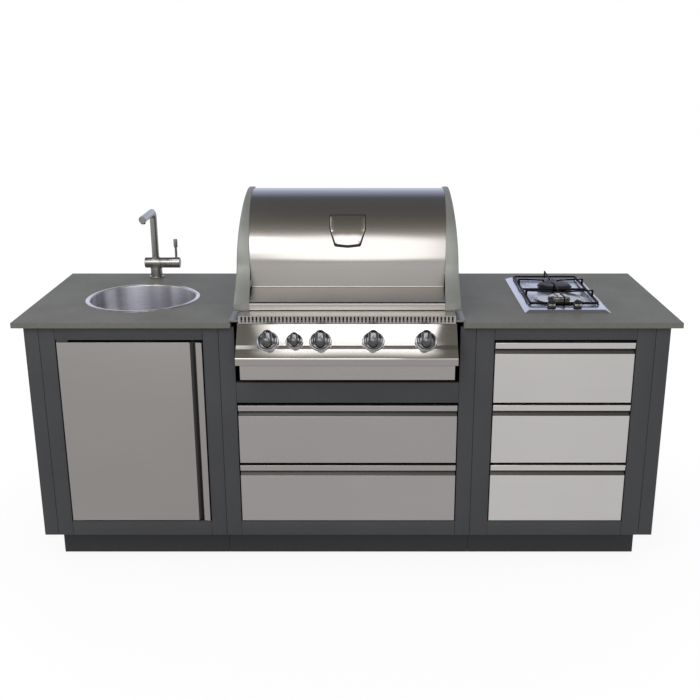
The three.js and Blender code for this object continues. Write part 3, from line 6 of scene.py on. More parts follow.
import bmesh
import bpy
import numpy as np
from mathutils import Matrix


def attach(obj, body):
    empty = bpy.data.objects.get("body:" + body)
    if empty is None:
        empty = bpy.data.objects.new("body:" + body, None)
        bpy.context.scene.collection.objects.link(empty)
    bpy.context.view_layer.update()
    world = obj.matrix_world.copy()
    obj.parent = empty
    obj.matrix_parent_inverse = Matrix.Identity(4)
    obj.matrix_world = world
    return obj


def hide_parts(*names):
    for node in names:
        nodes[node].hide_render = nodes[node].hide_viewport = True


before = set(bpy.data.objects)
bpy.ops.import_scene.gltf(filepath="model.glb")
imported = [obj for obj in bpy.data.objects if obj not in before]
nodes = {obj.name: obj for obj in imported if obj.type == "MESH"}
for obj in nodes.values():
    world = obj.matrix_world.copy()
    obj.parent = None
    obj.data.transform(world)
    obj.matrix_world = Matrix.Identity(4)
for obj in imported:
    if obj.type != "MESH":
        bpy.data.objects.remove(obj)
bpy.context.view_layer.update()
print("frame loaded:", len(nodes), "nodes")

# ---- camera: the photo's standpoint, found from the worktop's edges

camera = {
    "place": (0.061, -3.538, 1.826),
    "tilt": 72.57,
    "focalPixels": 982.8,
    "centrePixel": 365,
    "framePixels": 700,
    "sensor": 36,
}


# Lens in millimetres: focal pixels x sensor width / frame pixels. Shift: the centre's offset as a
# share of the frame.
def addCamera():
    data = bpy.data.cameras.new("camera")
    data.sensor_width = camera["sensor"]
    data.lens = camera["focalPixels"] * camera["sensor"] / camera["framePixels"]
    data.shift_x = (camera["framePixels"] / 2 - camera["centrePixel"]) / camera["framePixels"]
    made = bpy.data.objects.new("camera", data)
    made.location = camera["place"]
    made.rotation_euler = (math.radians(camera["tilt"]), 0, 0)
    bpy.context.scene.collection.objects.link(made)
    bpy.context.scene.camera = made


addCamera()
print("camera placed")

# ---- shapes: each is (points, faces), in millimetres

islandShift = -326  # the worktop's front edge stands this far in front of the island's middle


# v / |v|.
def unit(vector):
    return vector / np.linalg.norm(vector)


# Faces of a grid of rows by columns, either way round wrapped onto itself.
def gridFaces(rows, columns, wrapRows, wrapColumns):
    r = np.arange(rows if wrapRows else rows - 1)
    c = np.arange(columns if wrapColumns else columns - 1)
    r0, c0 = np.meshgrid(r, c, indexing="ij")
    r1, c1 = (r0 + 1) % rows, (c0 + 1) % columns
    corners = [r0 * columns + c0, r1 * columns + c0, r1 * columns + c1, r0 * columns + c1]
    return np.stack(corners, axis=-1).reshape(-1, 4).tolist()


# Closed rings (rows, points, 3) joined in order; open ends are closed by one face each.
def lofted(rings, closed=False):
    rows, columns = rings.shape[:2]
    faces = gridFaces(rows, columns, closed, True)
    if not closed:
        last = (rows - 1) * columns
        faces += [list(range(columns))[::-1], list(range(last, last + columns))]
    return rings.reshape(-1, 3), faces


# A closed line's corners as arcs: a corner point may carry a radius as its third value.
def filleted(points, steps=5):
    corners = [np.array(point[:2], float) for point in points]
    line = []
    for i, corner in enumerate(corners):
        radius = points[i][2] if len(points[i]) > 2 else 0
        if radius == 0:
            line.append(corner[None])
            continue
        back = unit(corners[i - 1] - corner)
        ahead = unit(corners[(i + 1) % len(corners)] - corner)
        half = math.acos(np.clip(back @ ahead, -1, 1)) / 2
        middle = corner + unit(back + ahead) * radius / math.sin(half)
        start = corner + back * radius / math.tan(half) - middle
        end = corner + ahead * radius / math.tan(half) - middle
        turn = math.atan2(start[0] * end[1] - start[1] * end[0], start @ end)
        angles = math.atan2(start[1], start[0]) + np.linspace(0, turn, steps + 1)
        line.append(middle + radius * np.stack([np.cos(angles), np.sin(angles)], axis=-1))
    return np.concatenate(line)


# Points on a circle's arc: centre + radius (cos a, sin a).
def arc(centre, radius, start, end, steps):
    angles = np.radians(np.linspace(start, end, steps + 1))
    return np.array(centre) + radius * np.stack([np.cos(angles), np.sin(angles)], axis=-1)


# A line moved to its left by a distance, with mitred corners: p + (n1 + n2) d / (1 + n1.n2).
def shifted(line, distance, closed=True):
    ahead = np.roll(line, -1, axis=0) - line
    if not closed:
        ahead[-1] = ahead[-2]
    ahead /= np.linalg.norm(ahead, axis=1, keepdims=True)
    normal = np.stack([-ahead[:, 1], ahead[:, 0]], axis=-1)
    before = np.roll(normal, 1, axis=0)
    if not closed:
        before[0] = normal[0]
    stretch = 1 + (normal * before).sum(axis=1, keepdims=True)
    return line + (normal + before) * distance / np.maximum(stretch, 0.2)


# A closed outline with points added along its long sides, at most a spacing apart.
def resampled(line, spacing):
    parts = []
    for start, end in zip(line, np.roll(line, -1, axis=0)):
        count = max(1, math.ceil(np.linalg.norm(end - start) / spacing))
        parts.append(start + (end - start) * np.linspace(0, 1, count, endpoint=False)[:, None])
    return np.concatenate(parts)


# Half the sum of x1 y2 - x2 y1 round an outline: positive when it runs anticlockwise.
def signedArea(line):
    x, y = line.T
    return (x * np.roll(y, -1) - y * np.roll(x, -1)).sum() / 2


# An outline's two values and a height, put on the axes that a piece is drawn along.
def spread(outline, height, axis):
    a, b = outline.T
    h = np.full_like(a, height)
    return np.stack({"x": (h, a, b), "y": (a, h, b), "z": (a, b, h)}[axis], axis=-1)


# An outline drawn straight along an axis, its end edges eased by a quarter round.
def drawn(outline, axis, low, high, ease=0.8, steps=3):
    outline = np.asarray(outline, float)
    inward = 1 if signedArea(outline) > 0 else -1
    angles = np.linspace(0, math.pi / 2, steps + 1)
    insets = ease * (1 - np.sin(angles)) if ease else np.zeros(1)
    rises = ease * (1 - np.cos(angles)) if ease else np.zeros(1)
    rings = [
        spread(shifted(outline, inward * inset), low + rise, axis)
        for inset, rise in zip(insets, rises)
    ]
    rings += [
        spread(shifted(outline, inward * inset), high - rise, axis)
        for inset, rise in zip(insets[::-1], rises[::-1])
    ]
    return lofted(np.array(rings))


# A board between two values on each axis, with all its edges eased.
def board(x, y, z, ease=1.0):
    corners = [(x[0], y[0], ease), (x[1], y[0], ease), (x[1], y[1], ease), (x[0], y[1], ease)]
    return drawn(filleted(corners, 2), "z", z[0], z[1], ease, 2)


# A profile of (radius, height) turned about Z: (r cos a, r sin a, h).
def turned(profile, sides=96):
    radius, height = np.asarray(profile, float).T
    angles = np.linspace(0, 2 * math.pi, sides, endpoint=False)
    points = np.stack(
        [
            np.outer(radius, np.cos(angles)),
            np.outer(radius, np.sin(angles)),
            np.repeat(height[:, None], sides, axis=1),
        ],
        axis=-1,
    )
    closed = bool(np.allclose(profile[0], profile[-1]))
    if closed:
        points = points[:-1]
    return points.reshape(-1, 3), gridFaces(len(points), sides, closed, True)


# A profile of (radius, height, corner radius) turned about Z. A closed one makes a hollow ring.
def lathed(profile, sides=72, steps=5, closed=False, widen=1.0):
    line = filleted(profile, steps)
    if closed:
        line = np.concatenate([line, line[:1]])
    return turned(line * [widen, 1], sides)


# A closed section of (side, up) carried along a path: p + s side + u up.
def carried(section, path, up=(0, 0, 1), closed=False):
    section = np.asarray(section, float)
    path = np.asarray(path, float)
    along = np.roll(path, -1, axis=0) - np.roll(path, 1, axis=0)
    if not closed:
        along[0], along[-1] = path[1] - path[0], path[-1] - path[-2]
    along /= np.linalg.norm(along, axis=1, keepdims=True)
    side = np.cross(along, np.array(up, float))
    side /= np.linalg.norm(side, axis=1, keepdims=True)
    over = np.cross(side, along)
    rings = (
        path[:, None]
        + section[None, :, :1] * side[:, None]
        + section[None, :, 1:] * over[:, None]
    )
    return lofted(rings, closed)


# A whole turn of (r cos a, r sin a), its last point left out.
def circle(radius, sides=24):
    return arc((0, 0), radius, 0, 360, sides)[:-1]


# The outline of a rectangle with round corners.
def rectangle(x, y, radius=0.0, steps=6):
    corners = [(x[0], y[0], radius), (x[1], y[0], radius), (x[1], y[1], radius)]
    return filleted(corners + [(x[0], y[1], radius)], steps)


# Rounded rectangles one over another; each level is (inset, height, corner radius).
def stacked(x, y, levels):
    return [
        spread(
            rectangle((x[0] + inset, x[1] - inset), (y[0] + inset, y[1] - inset), radius), z, "z"
        )
        for inset, z, radius in levels
    ]


# A shape turned about X, Y, then Z, and moved.
def moved(shape, place, turnX=0.0, turnY=0.0, turnZ=0.0):
    points = np.asarray(shape[0], float)
    for axis, angle in enumerate((turnX, turnY, turnZ)):
        a, b = (axis + 1) % 3, (axis + 2) % 3
        c, s = math.cos(angle), math.sin(angle)
        now = points.copy()
        now[:, a] = points[:, a] * c - points[:, b] * s
        now[:, b] = points[:, a] * s + points[:, b] * c
        points = now
    return points + np.array(place, float), shape[1]


# One piece from closed shapes: merged, turned right side out, smooth up to a crease angle.
def addPiece(name, shapes, material, body, replaced=(), crease=35):
    points, faces, count = [], [], 0
    for shapePoints, shapeFaces in shapes:
        points.append(shapePoints)
        faces += [[index + count for index in face] for face in shapeFaces]
        count += len(shapePoints)
    place = (np.concatenate(points) + np.array([0, islandShift, 0])) / 1000
    mesh = bpy.data.meshes.new(name)
    mesh.from_pydata(place.tolist(), [], faces)
    tidy = bmesh.new()
    tidy.from_mesh(mesh)
    bmesh.ops.remove_doubles(tidy, verts=tidy.verts, dist=2e-6)
    bmesh.ops.dissolve_degenerate(tidy, edges=tidy.edges, dist=1e-6)
    bmesh.ops.recalc_face_normals(tidy, faces=tidy.faces)
    tidy.to_mesh(mesh)
    tidy.free()
    mesh.polygons.foreach_set("use_smooth", np.ones(len(mesh.polygons), bool))
    mesh.set_sharp_from_angle(angle=math.radians(crease))
    mesh.materials.append(material)
    made = bpy.data.objects.new(name, mesh)
    bpy.context.scene.collection.objects.link(made)
    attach(made, body)
    if replaced:
        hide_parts(*replaced)
    return made


# The middles of a piece's faces, back in millimetres.
def faceCentres(made):
    centres = np.empty(len(made.data.polygons) * 3)
    made.data.polygons.foreach_get("center", centres)
    return centres.reshape(-1, 3) * 1000 - [0, islandShift, 0]


# Faces picked by a mask take another finish of the same piece.
def refinish(made, finishes):
    chosen = np.zeros(len(made.data.polygons), np.int32)
    for index, (material, mask) in enumerate(finishes):
        made.data.materials.append(material)
        chosen[mask] = index + 1
    made.data.polygons.foreach_set("material_index", chosen)


# A finish for a piece whose shape stays as it came.
def dress(nodeName, material):
    for index in range(len(nodes[nodeName].material_slots)):
        nodes[nodeName].material_slots[index].material = material


# ---- materials


# sRGB hex to linear: c / 12.92 below 0.04045, else ((c + 0.055) / 1.055) ** 2.4.
def linear(hexColour):
    values = np.array([int(hexColour[i : i + 2], 16) for i in (1, 3, 5)]) / 255
    low, high = values / 12.92, ((values + 0.055) / 1.055) ** 2.4
    return tuple(np.where(values <= 0.04045, low, high).tolist()) + (1.0,)


# Adds a node with its settings, its input values and its links.
def addNode(tree, kind, values=None, links=None, **settings):
    node = tree.nodes.new(kind)
    for name, value in settings.items():
        setattr(node, name, value)
    for socket, value in (values or {}).items():
        node.inputs[socket].default_value = value
    for socket, source in (links or {}).items():
        tree.links.new(source, node.inputs[socket])
    return node


# A material with one principled shader on its output.
def startMaterial(name, values):
    made = bpy.data.materials.new(name)
    made.use_nodes = True
    tree = made.node_tree
    tree.nodes.clear()
    shader = addNode(tree, "ShaderNodeBsdfPrincipled", values)
    addNode(tree, "ShaderNodeOutputMaterial", links={"Surface": shader.outputs["BSDF"]})
    return made, tree, shader


# One value from two, by an operation of the maths node.
def combined(tree, operation, first, second):
    values = {0: first, 1: second}
    return addNode(tree, "ShaderNodeMath", None, values, operation=operation).outputs[0]


# One colour from two: first (1 - f) + second f.
def mixColours(tree, factor, first, second):
    mix = addNode(tree, "ShaderNodeMix", {6: first, 7: second}, data_type="RGBA")
    tree.links.new(factor, mix.inputs[0])
    return mix.outputs[2]


# One shader from two: first (1 - f) + second f.
def mixShaders(tree, factor, first, second):
    links = {0: factor, 1: first, 2: second}
    return addNode(tree, "ShaderNodeMixShader", None, links).outputs[0]


# A value mapped to a range: low at fromLow, high at fromHigh, and straight between them.
def mapRange(tree, value, low, high, fromLow=0.3, fromHigh=0.7):
    names = {"From Min": fromLow, "From Max": fromHigh, "To Min": low, "To Max": high}
    return addNode(tree, "ShaderNodeMapRange", names, {"Value": value}).outputs["Result"]


# Noise whose grain is given in millimetres along each axis.
def grainNoise(tree, coordinates, grain, detail=2.0, roughness=0.5):
    scale = tuple(1000 / size for size in grain)
    mapping = addNode(tree, "ShaderNodeMapping", {"Scale": scale}, {"Vector": coordinates})
    values = {"Scale": 1.0, "Detail": detail, "Roughness": roughness}
    noise = addNode(tree, "ShaderNodeTexNoise", values, {"Vector": mapping.outputs["Vector"]})
    return noise.outputs["Fac"]


# A height of 0 to 1 as relief, its depth in millimetres.
def addBump(tree, shader, height, depth, strength=1.0):
    values = {"Distance": depth / 1000, "Strength": strength}
    bump = addNode(tree, "ShaderNodeBump", values, {"Height": height})
    tree.links.new(bump.outputs["Normal"], shader.inputs["Normal"])


# Stainless steel sheet, belt-brushed in one direction: long fine lines that catch the light,
# slow cloudy change of tone, and a highlight spread across the lines. The real lines are about
# 0.2 mm apart; they are drawn about ten times coarser so that they show.
def brushedSteel(name, colour, shade, roughness=0.3, line=2.2, length=260, depth=0.008, along=0):
    made, tree, shader = startMaterial(name, {"Metallic": 1.0})
    place = addNode(tree, "ShaderNodeTexCoord").outputs["Object"]
    grain = [line, line, line]
    grain[along] = length
    lines = grainNoise(tree, place, grain, 4.0, 0.65)
    clouds = grainNoise(tree, place, (420, 420, 420), 2.0)
    tone = mapRange(tree, lines, 0.0, 1.0)
    soft = mapRange(tree, clouds, 0.0, 1.0)
    mixed = addNode(tree, "ShaderNodeMath", {1: 0.5}, {0: soft}, operation="MULTIPLY")
    total = addNode(
        tree, "ShaderNodeMath", {1: 0.5}, {0: tone, 2: mixed.outputs[0]}, operation="MULTIPLY_ADD"
    )
    shaded = mixColours(tree, total.outputs[0], linear(shade), linear(colour))
    tree.links.new(shaded, shader.inputs["Base Color"])
    rough = mapRange(tree, lines, roughness * 0.92, roughness * 1.1)
    tree.links.new(rough, shader.inputs["Roughness"])
    addBump(tree, shader, lines, depth)
    return made


# Settings of the painted reflection streaks: soft dark rays in spun steel.
paintedReflectionStreak = {"scale": 2.6, "detail": 1.5, "from": 0.34, "to": 0.6, "colour": "#7d7c86"}


# Stainless steel spun or polished on a lathe: fine rings round the piece's own axis. The real
# rings are finer than 0.3 mm; they are drawn about 2 mm wide so that they show. Streaks are
# painted reflection: soft dark rays out from the axis, where a polished bowl mirrors dim parts
# of the room.
def spunSteel(name, colour, shade, centre, roughness=0.22, ring=2.0, depth=0.015, paintedReflectionShare=0.0):
    made, tree, shader = startMaterial(name, {"Metallic": 1.0})
    place = addNode(tree, "ShaderNodeTexCoord").outputs["Object"]
    shift = (-centre[0] / 1000, -(centre[1] + islandShift) / 1000, 0)
    mapping = addNode(tree, "ShaderNodeMapping", {"Location": shift}, {"Vector": place})
    flat = addNode(
        tree,
        "ShaderNodeVectorMath",
        {1: (1, 1, 0)},
        {0: mapping.outputs["Vector"]},
        operation="MULTIPLY",
    )
    radius = addNode(
        tree, "ShaderNodeVectorMath", None, {0: flat.outputs["Vector"]}, operation="LENGTH"
    )
    height = addNode(tree, "ShaderNodeSeparateXYZ", None, {"Vector": place}).outputs["Z"]
    summed = addNode(
        tree, "ShaderNodeMath", None, {0: radius.outputs["Value"], 1: height}, operation="ADD"
    )
    noise = addNode(
        tree,
        "ShaderNodeTexNoise",
        {"Scale": 1000 / ring, "Detail": 3.0},
        {"W": summed.outputs[0]},
        noise_dimensions="1D",
    ).outputs["Fac"]
    clouds = grainNoise(tree, place, (90, 90, 90), 2.0)
    tone = addNode(tree, "ShaderNodeMath", {1: 0.5}, {0: noise}, operation="MULTIPLY")
    both = addNode(
        tree, "ShaderNodeMath", {1: 0.5}, {0: clouds, 2: tone.outputs[0]}, operation="MULTIPLY_ADD"
    )
    factor = mapRange(tree, both.outputs[0], 0.0, 1.0)
    tinted = mixColours(tree, factor, linear(shade), linear(colour))
    if paintedReflectionShare:
        around = addNode(
            tree, "ShaderNodeVectorMath", None, {0: flat.outputs["Vector"]}, operation="NORMALIZE"
        ).outputs["Vector"]
        values = {"Scale": paintedReflectionStreak["scale"], "Detail": paintedReflectionStreak["detail"], "Roughness": 0.5}
        rays = addNode(tree, "ShaderNodeTexNoise", values, {"Vector": around}).outputs["Fac"]
        shadow = {7: linear(paintedReflectionStreak["colour"])}
        dark = addNode(tree, "ShaderNodeMix", shadow, {6: tinted}, data_type="RGBA")
        share = mapRange(tree, rays, paintedReflectionShare, 0.0, paintedReflectionStreak["from"], paintedReflectionStreak["to"])
        tree.links.new(share, dark.inputs[0])
        tinted = dark.outputs[2]
    tree.links.new(tinted, shader.inputs["Base Color"])
    rough = mapRange(tree, noise, roughness * 0.85, roughness * 1.2)
    tree.links.new(rough, shader.inputs["Roughness"])
    addBump(tree, shader, noise, depth)
    return made


# A matt or satin solid: a slow change of tone, a fine tooth in the surface, and patches that are
# a little rougher, so that its highlight isn't even.
def toothed(name, colour, shade, values, grain=1.6, depth=0.05, patch=120, rough=(0.5, 0.6)):
    made, tree, shader = startMaterial(name, values)
    place = addNode(tree, "ShaderNodeTexCoord").outputs["Object"]
    tooth = grainNoise(tree, place, (grain, grain, grain), 3.0)
    patches = grainNoise(tree, place, (patch, patch, patch), 4.0, 0.6)
    factor = mapRange(tree, patches, 0.0, 1.0)
    tree.links.new(
        mixColours(tree, factor, linear(shade), linear(colour)), shader.inputs["Base Color"]
    )
    tree.links.new(mapRange(tree, patches, *rough), shader.inputs["Roughness"])
    addBump(tree, shader, tooth, depth)
    return made


grit = {"cell": 2.4, "cloud": 160, "tooth": 3, "depth": 0.02}


# Compact stone worktop, honed: mid warm grey with fine darker and lighter grains.
def honedStone(name, colour, dark, light):
    made, tree, shader = startMaterial(name, {"IOR": 1.5, "Specular IOR Level": 0.12})
    place = addNode(tree, "ShaderNodeTexCoord").outputs["Object"]
    cells = {"Scale": 1000 / grit["cell"], "Randomness": 1.0}
    cell = addNode(tree, "ShaderNodeTexVoronoi", cells, {"Vector": place}).outputs["Color"]
    speck = addNode(tree, "ShaderNodeSeparateColor", None, {"Color": cell}).outputs["Red"]
    darker = mapRange(tree, speck, 0.0, 0.55, 0.72, 1.0)
    lighter = mapRange(tree, speck, 0.45, 0.0, 0.0, 0.2)
    clouds = grainNoise(tree, place, [grit["cloud"]] * 3, 3.0)
    base = mixColours(tree, mapRange(tree, clouds, 0.0, 0.35), linear(colour), linear(dark))
    first = addNode(tree, "ShaderNodeMix", {7: linear(dark)}, {0: darker, 6: base}, data_type="RGBA")
    second = addNode(
        tree, "ShaderNodeMix", {7: linear(light)}, {0: lighter, 6: first.outputs[2]}, data_type="RGBA"
    )
    tree.links.new(second.outputs[2], shader.inputs["Base Color"])
    tree.links.new(mapRange(tree, clouds, 0.42, 0.5), shader.inputs["Roughness"])
    addBump(tree, shader, grainNoise(tree, place, [grit["tooth"]] * 3, 3.0), grit["depth"])
    return made


# Honed stone: a flat grey whose fine grains break up its dull sheen.
stone = honedStone("honedStone", "#7d7c75", "#6c6b65", "#8f8e87")
# Moulded polymer board: dark grey, with a fine tooth and a weak, wide highlight.
cabinetBoard = toothed(
    "texturedPolymerBoard", "#47484b", "#404144", {"IOR": 1.5}, 1.8, 0.06, 260, (0.52, 0.62)
)
# The same board darkened as painted shade, inside the cabinets and on the recessed plinths, and
# duller.
shadedBoard = toothed(
    "polymerBoardWithPaintedShade", "#303134", "#2a2b2d", {"IOR": 1.5}, 1.8, 0.06, 200, (0.55, 0.65)
)
# Brushed sheet in a tone for each group of fronts, lighter or darker as painted light and shade
# for how light falls on each: grey on the door, palest on the right.
doorSteel = brushedSteel("brushedStainlessDoor", "#bcb8b6", "#b4b0ae", 0.34)
frontSteel = brushedSteel("brushedStainlessFronts", "#c7c2c1", "#bfbab9", 0.34)
paleFrontSteel = brushedSteel("brushedStainlessDrawers", "#f1eeec", "#e9e6e4", 0.34)
# A dull dark grey steel whose lines hardly show: painted shade in the pulls' V grooves, and the
# door pivots' own blackened steel.
grooveShadeAndPivotSteel = brushedSteel("grooveShadeAndDarkPivotSteel", "#5f5d5b", "#545250", 0.5)
# Finer brushing: the lid mirrors the room softly and its scoop hardly at all. The bare plate and
# the control panel are polished to all but a mirror.
lidSteel = brushedSteel("brushedStainlessLid", "#ccc8c4", "#c3bfbb", 0.19, 1.6, 320, 0.004)
scoopSteel = brushedSteel("satinStainlessScoop", "#c2bebb", "#b8b4b1", 0.36, 1.6, 320, 0.006)
plateSteel = brushedSteel("polishedStainlessPlate", "#ccc8c4", "#c8c4c0", 0.08, 1.0, 200, 0.001)
panelSteel = brushedSteel("polishedStainlessPanel", "#bebab6", "#b9b5b1", 0.12, 1.2, 400, 0.002)
# Plain brushed sheet of the vent sill and the drip tray.
grillSteel = brushedSteel("brushedStainlessGrill", "#c9c5c2", "#bfbbb8", 0.27)
# Mill finish inside the firebox and drawers: broad soft marks and no clear highlight.
millSteel = brushedSteel("millFinishStainless", "#a5a29c", "#8f8c86", 0.42, 5, 90)
# Satin sheet: fine lines up the tap, and a pale hob tray with a soft highlight.
tapSteel = brushedSteel("satinStainlessTap", "#b3b1ae", "#a5a3a0", 0.22, 1.2, 60, 0.006, 2)
hobSteel = brushedSteel("satinStainlessHob", "#e8e7ea", "#dddce0", 0.26, 1.6, 120, 0.006)
sinkCentre = (-766, 345)
# Spun steel: a pale soft bowl with painted reflection streaks, and a rim polished to a bright ring.
sinkSteel = spunSteel("spunStainlessSink", "#f6f5f8", "#e6e5eb", sinkCentre, 0.3, paintedReflectionShare=0.7)
sinkRimSteel = spunSteel("polishedStainlessRim", "#ebe7dc", "#dedacf", sinkCentre, 0.12, 1.5)
hobCentreX = 775.5
# The front burner's pressed dish: nearly a mirror, with faint rings.
dishSteel = spunSteel("polishedStainlessDish", "#cfcdc4", "#b5b2a6", (hobCentreX, 300), 0.14)
# Cast aluminium with a satin coat: pale grey, even and only faintly metallic.
casting = toothed(
    "satinCastAluminium",
    "#9c9e99",
    "#92948f",
    {"Metallic": 0.35, "IOR": 1.5},
    1.2,
    0.05,
    150,
    (0.4, 0.48),
)


# Polished plating: no grain, and a sharp mirror of the room whose depth of tone is the colour's.
def plated(name, colour, roughness):
    values = {"Base Color": linear(colour), "Metallic": 1.0, "Roughness": roughness}
    return startMaterial(name, values)[0]


# Chrome: pale on the rack and rings. On the grill's knobs it is darkened as painted shade for the
# dim room they mirror, and on the bezels it is between the two.
chrome = plated("chromePlatedZinc", "#d2d2d2", 0.07)
shadedKnobChrome = plated("chromeWithPaintedShade", "#6c6c6d", 0.07)
bezelChrome = plated("bezelChromePlating", "#a2a2a4", 0.08)
# Black with hardly a highlight: painted shade in the strainer's holes and in the tap's and lid's
# slots, and the dark joint round the lid's plate.
shadeAndJointBlack = startMaterial("blackShadeAndJoint", {"Base Color": linear("#151515"), "Roughness": 0.7})[0]
# Moulded rubber of the hob's knobs: black and matt.
rubber = toothed("mouldedRubber", "#1d1d1e", "#171718", {"IOR": 1.5}, 1.5, 0.03, 40, (0.6, 0.75))
# Vitreous enamel of the pan support: glassy black with thin, soft highlights.
blackEnamel = toothed(
    "blackVitreousEnamel",
    "#101010",
    "#0b0b0c",
    {"Specular IOR Level": 0.14},
    2.5,
    0.06,
    60,
    (0.38, 0.5),
)
# The rear burner's enamel: brown-black under a thin gloss.
brownEnamel = toothed(
    "brownBlackEnamelCap",
    "#2b2422",
    "#211c1a",
    {"Specular IOR Level": 0.2, "Coat Weight": 0.08, "Coat Roughness": 0.3},
    2.0,
    0.05,
    30,
    (0.35, 0.5),
)
# Cast iron grates: coarse, nearly black, and with no clear highlight.
castIron = toothed(
    "matteCastIron", "#2b2a29", "#1f1e1e", {"IOR": 1.5}, 1.6, 0.25, 40, (0.6, 0.78)
)
# Burner crowns dulled by heat: a warm, cloudy grey.
burnedAlloy = toothed(
    "burnerAlloy", "#7a7563", "#585343", {"Metallic": 0.8}, 1.2, 0.08, 25, (0.35, 0.5)
)
# Turned brass of the gas manifold: warm, with a soft metal highlight.
brass = toothed("turnedBrass", "#a98b4d", "#8f7440", {"Metallic": 1.0}, 1.0, 0.03, 30, (0.3, 0.4))
print("materials made")

# ---- cabinets: frames of separate stiles and rails, end panels, and what stays from the CAD

cabinet = {
    "face": (20, 40),
    "height": (101.5, 894),
    "seam": 443,
    "side": 1060,
    "end": 1110,
    "moduleGap": 0.5,
    "boardGap": 0.5,
    "ease": 1.2,
    "back": 728,
    "stile": 54,
    "wideStile": 63.5,
    "bottomRailTop": 157,
    "topRailFoot": 847,
    "middleRail": (617, 692),
}


# Stiles run the full height and the rails sit between them, each a board of its own.
def faceFrame(name, x, stile, rails):
    gap, ease = cabinet["boardGap"], cabinet["ease"]
    low, high = x[0] + cabinet["moduleGap"], x[1] - cabinet["moduleGap"]
    inner = (x[0] + stile, x[1] - stile)
    shapes = [
        board((low, inner[0]), cabinet["face"], cabinet["height"], ease),
        board((inner[1], high), cabinet["face"], cabinet["height"], ease),
    ]
    for rail in rails:
        shapes.append(board((inner[0] + gap, inner[1] - gap), cabinet["face"], rail, ease))
    node = name + "_face_frame"
    addPiece(name + "FrameBoards", shapes, cabinetBoard, "island", (node,))


seam, side = cabinet["seam"], cabinet["side"]
bottomRail = (cabinet["height"][0], cabinet["bottomRailTop"])
topRail = (cabinet["topRailFoot"], cabinet["height"][1])
faceFrame("left", (-side, -seam), cabinet["stile"], [bottomRail, topRail])
faceFrame("centre", (-seam, seam), cabinet["stile"], [bottomRail, cabinet["middleRail"]])
faceFrame("right", (seam, side), cabinet["wideStile"], [bottomRail, topRail])
for name, sign in (("left", -1), ("right", 1)):
    x = sorted((sign * (side + cabinet["moduleGap"]), sign * cabinet["end"]))
    addPiece(
        name + "EndBoard",
        [board(x, (cabinet["face"][0], cabinet["back"]), cabinet["height"], cabinet["ease"])],
        cabinetBoard,
        "island",
        (name + "_end_panel",),
    )
for name in ("left", "centre", "right"):
    dress(name + "_carcass", shadedBoard)
    dress(name + "_plinth", shadedBoard)
for name in ("left", "right", "rear"):
    dress(name + "_worktop", stone)
print("cabinets made")

# ---- door and drawer fronts: folded sheet with a rolled lip and a V groove for the fingers

pull = {"lip": 22, "proud": 5, "fall": 4, "groove": 20, "deep": 14, "crease": 0.2}
fold = {"outer": 2.0, "lip": 2.6, "valley": 1.2, "edge": 1.6, "end": 0.8}
front = {"face": 20, "thickness": 20}
# Which faces of a pull take the groove's painted shade.
dull = {"under": 0.6, "before": 0.5, "from": 8}  # which faces of a pull count as its groove


# The fold seen from its end: (distance from the edge, depth behind the face, fold radius).
def pullLine(length):
    lip, deep = pull["lip"], pull["deep"]
    return filleted(
        [
            (0, front["thickness"], fold["edge"]),
            (0, -pull["proud"], fold["outer"]),
            (lip, -pull["proud"] + pull["fall"], fold["lip"]),
            (lip + pull["groove"] * pull["crease"], deep, fold["valley"]),
            (lip + pull["groove"], 0, fold["valley"]),
            (length, 0, fold["edge"]),
            (length, front["thickness"], fold["edge"]),
        ]
    )


# The faces inside the groove take a dull dark grey as painted shade.
def paintGrooveShade(made, axis, edge):
    centres = faceCentres(made)
    depth, fromEdge = centres[:, 1], edge - centres[:, axis]
    rear = front["face"] + front["thickness"] - dull["before"]
    deep = (depth > front["face"] + dull["under"]) & (depth < rear)
    inGroove = (fromEdge > dull["from"]) & (fromEdge < pull["lip"] + pull["groove"])
    refinish(made, [(grooveShadeAndPivotSteel, deep & inGroove)])


drawers = {
    "centre": {"x": (-385, 385), "fronts": [(160, 380), (388, 608)]},
    "right": {
        "x": (510.5, 992.5),
        "fronts": [(160, 380.667), (388.667, 609.333), (617.333, 838)],
    },
}
levels = {2: ("lower", "upper"), 3: ("lower", "middle", "upper")}
for name, drawerSet in drawers.items():
    steel = frontSteel if name == "centre" else paleFrontSteel
    for level, (low, high) in zip(levels[len(drawerSet["fronts"])], drawerSet["fronts"]):
        line = pullLine(high - low)
        outline = np.stack([front["face"] + line[:, 1], high - line[:, 0]], axis=-1)
        stem = f"{name}_{level}_drawer"
        made = addPiece(
            f"{name}{level.title()}DrawerFront",
            [drawn(outline, "x", *drawerSet["x"], fold["end"])],
            steel,
            stem,
            (stem + "_front",),
        )
        paintGrooveShade(made, 2, high)
        dress(stem + "_box", millSteel)

door = {"x": (-1002, -501), "z": (161, 838)}
line = pullLine(door["x"][1] - door["x"][0])
outline = np.stack([door["x"][1] - line[:, 0], front["face"] + line[:, 1]], axis=-1)
made = addPiece(
    "doorPanel",
    [drawn(outline, "z", *door["z"], fold["end"])],
    doorSteel,
    "door",
    ("door",),
)
paintGrooveShade(made, 0, door["x"][1])
dress("lower_door_pivot", grooveShadeAndPivotSteel)
dress("upper_door_pivot", grooveShadeAndPivotSteel)
print("fronts made")

# ---- sink: rolled rim, spun bowl and a basket strainer in the waste

worktopTop = 914
sink = {
    "rim": 208.5,
    "rimWidth": 16,
    "rimHeight": 3.5,
    "draft": 4,
    "depth": 176,
    "corner": 42,
    "fall": 5,
    "wall": 2,
    "drain": 42,
    "lip": 3,
    "lipDrop": 1.2,
    "edge": 1.2,
    "roll": 5,
}


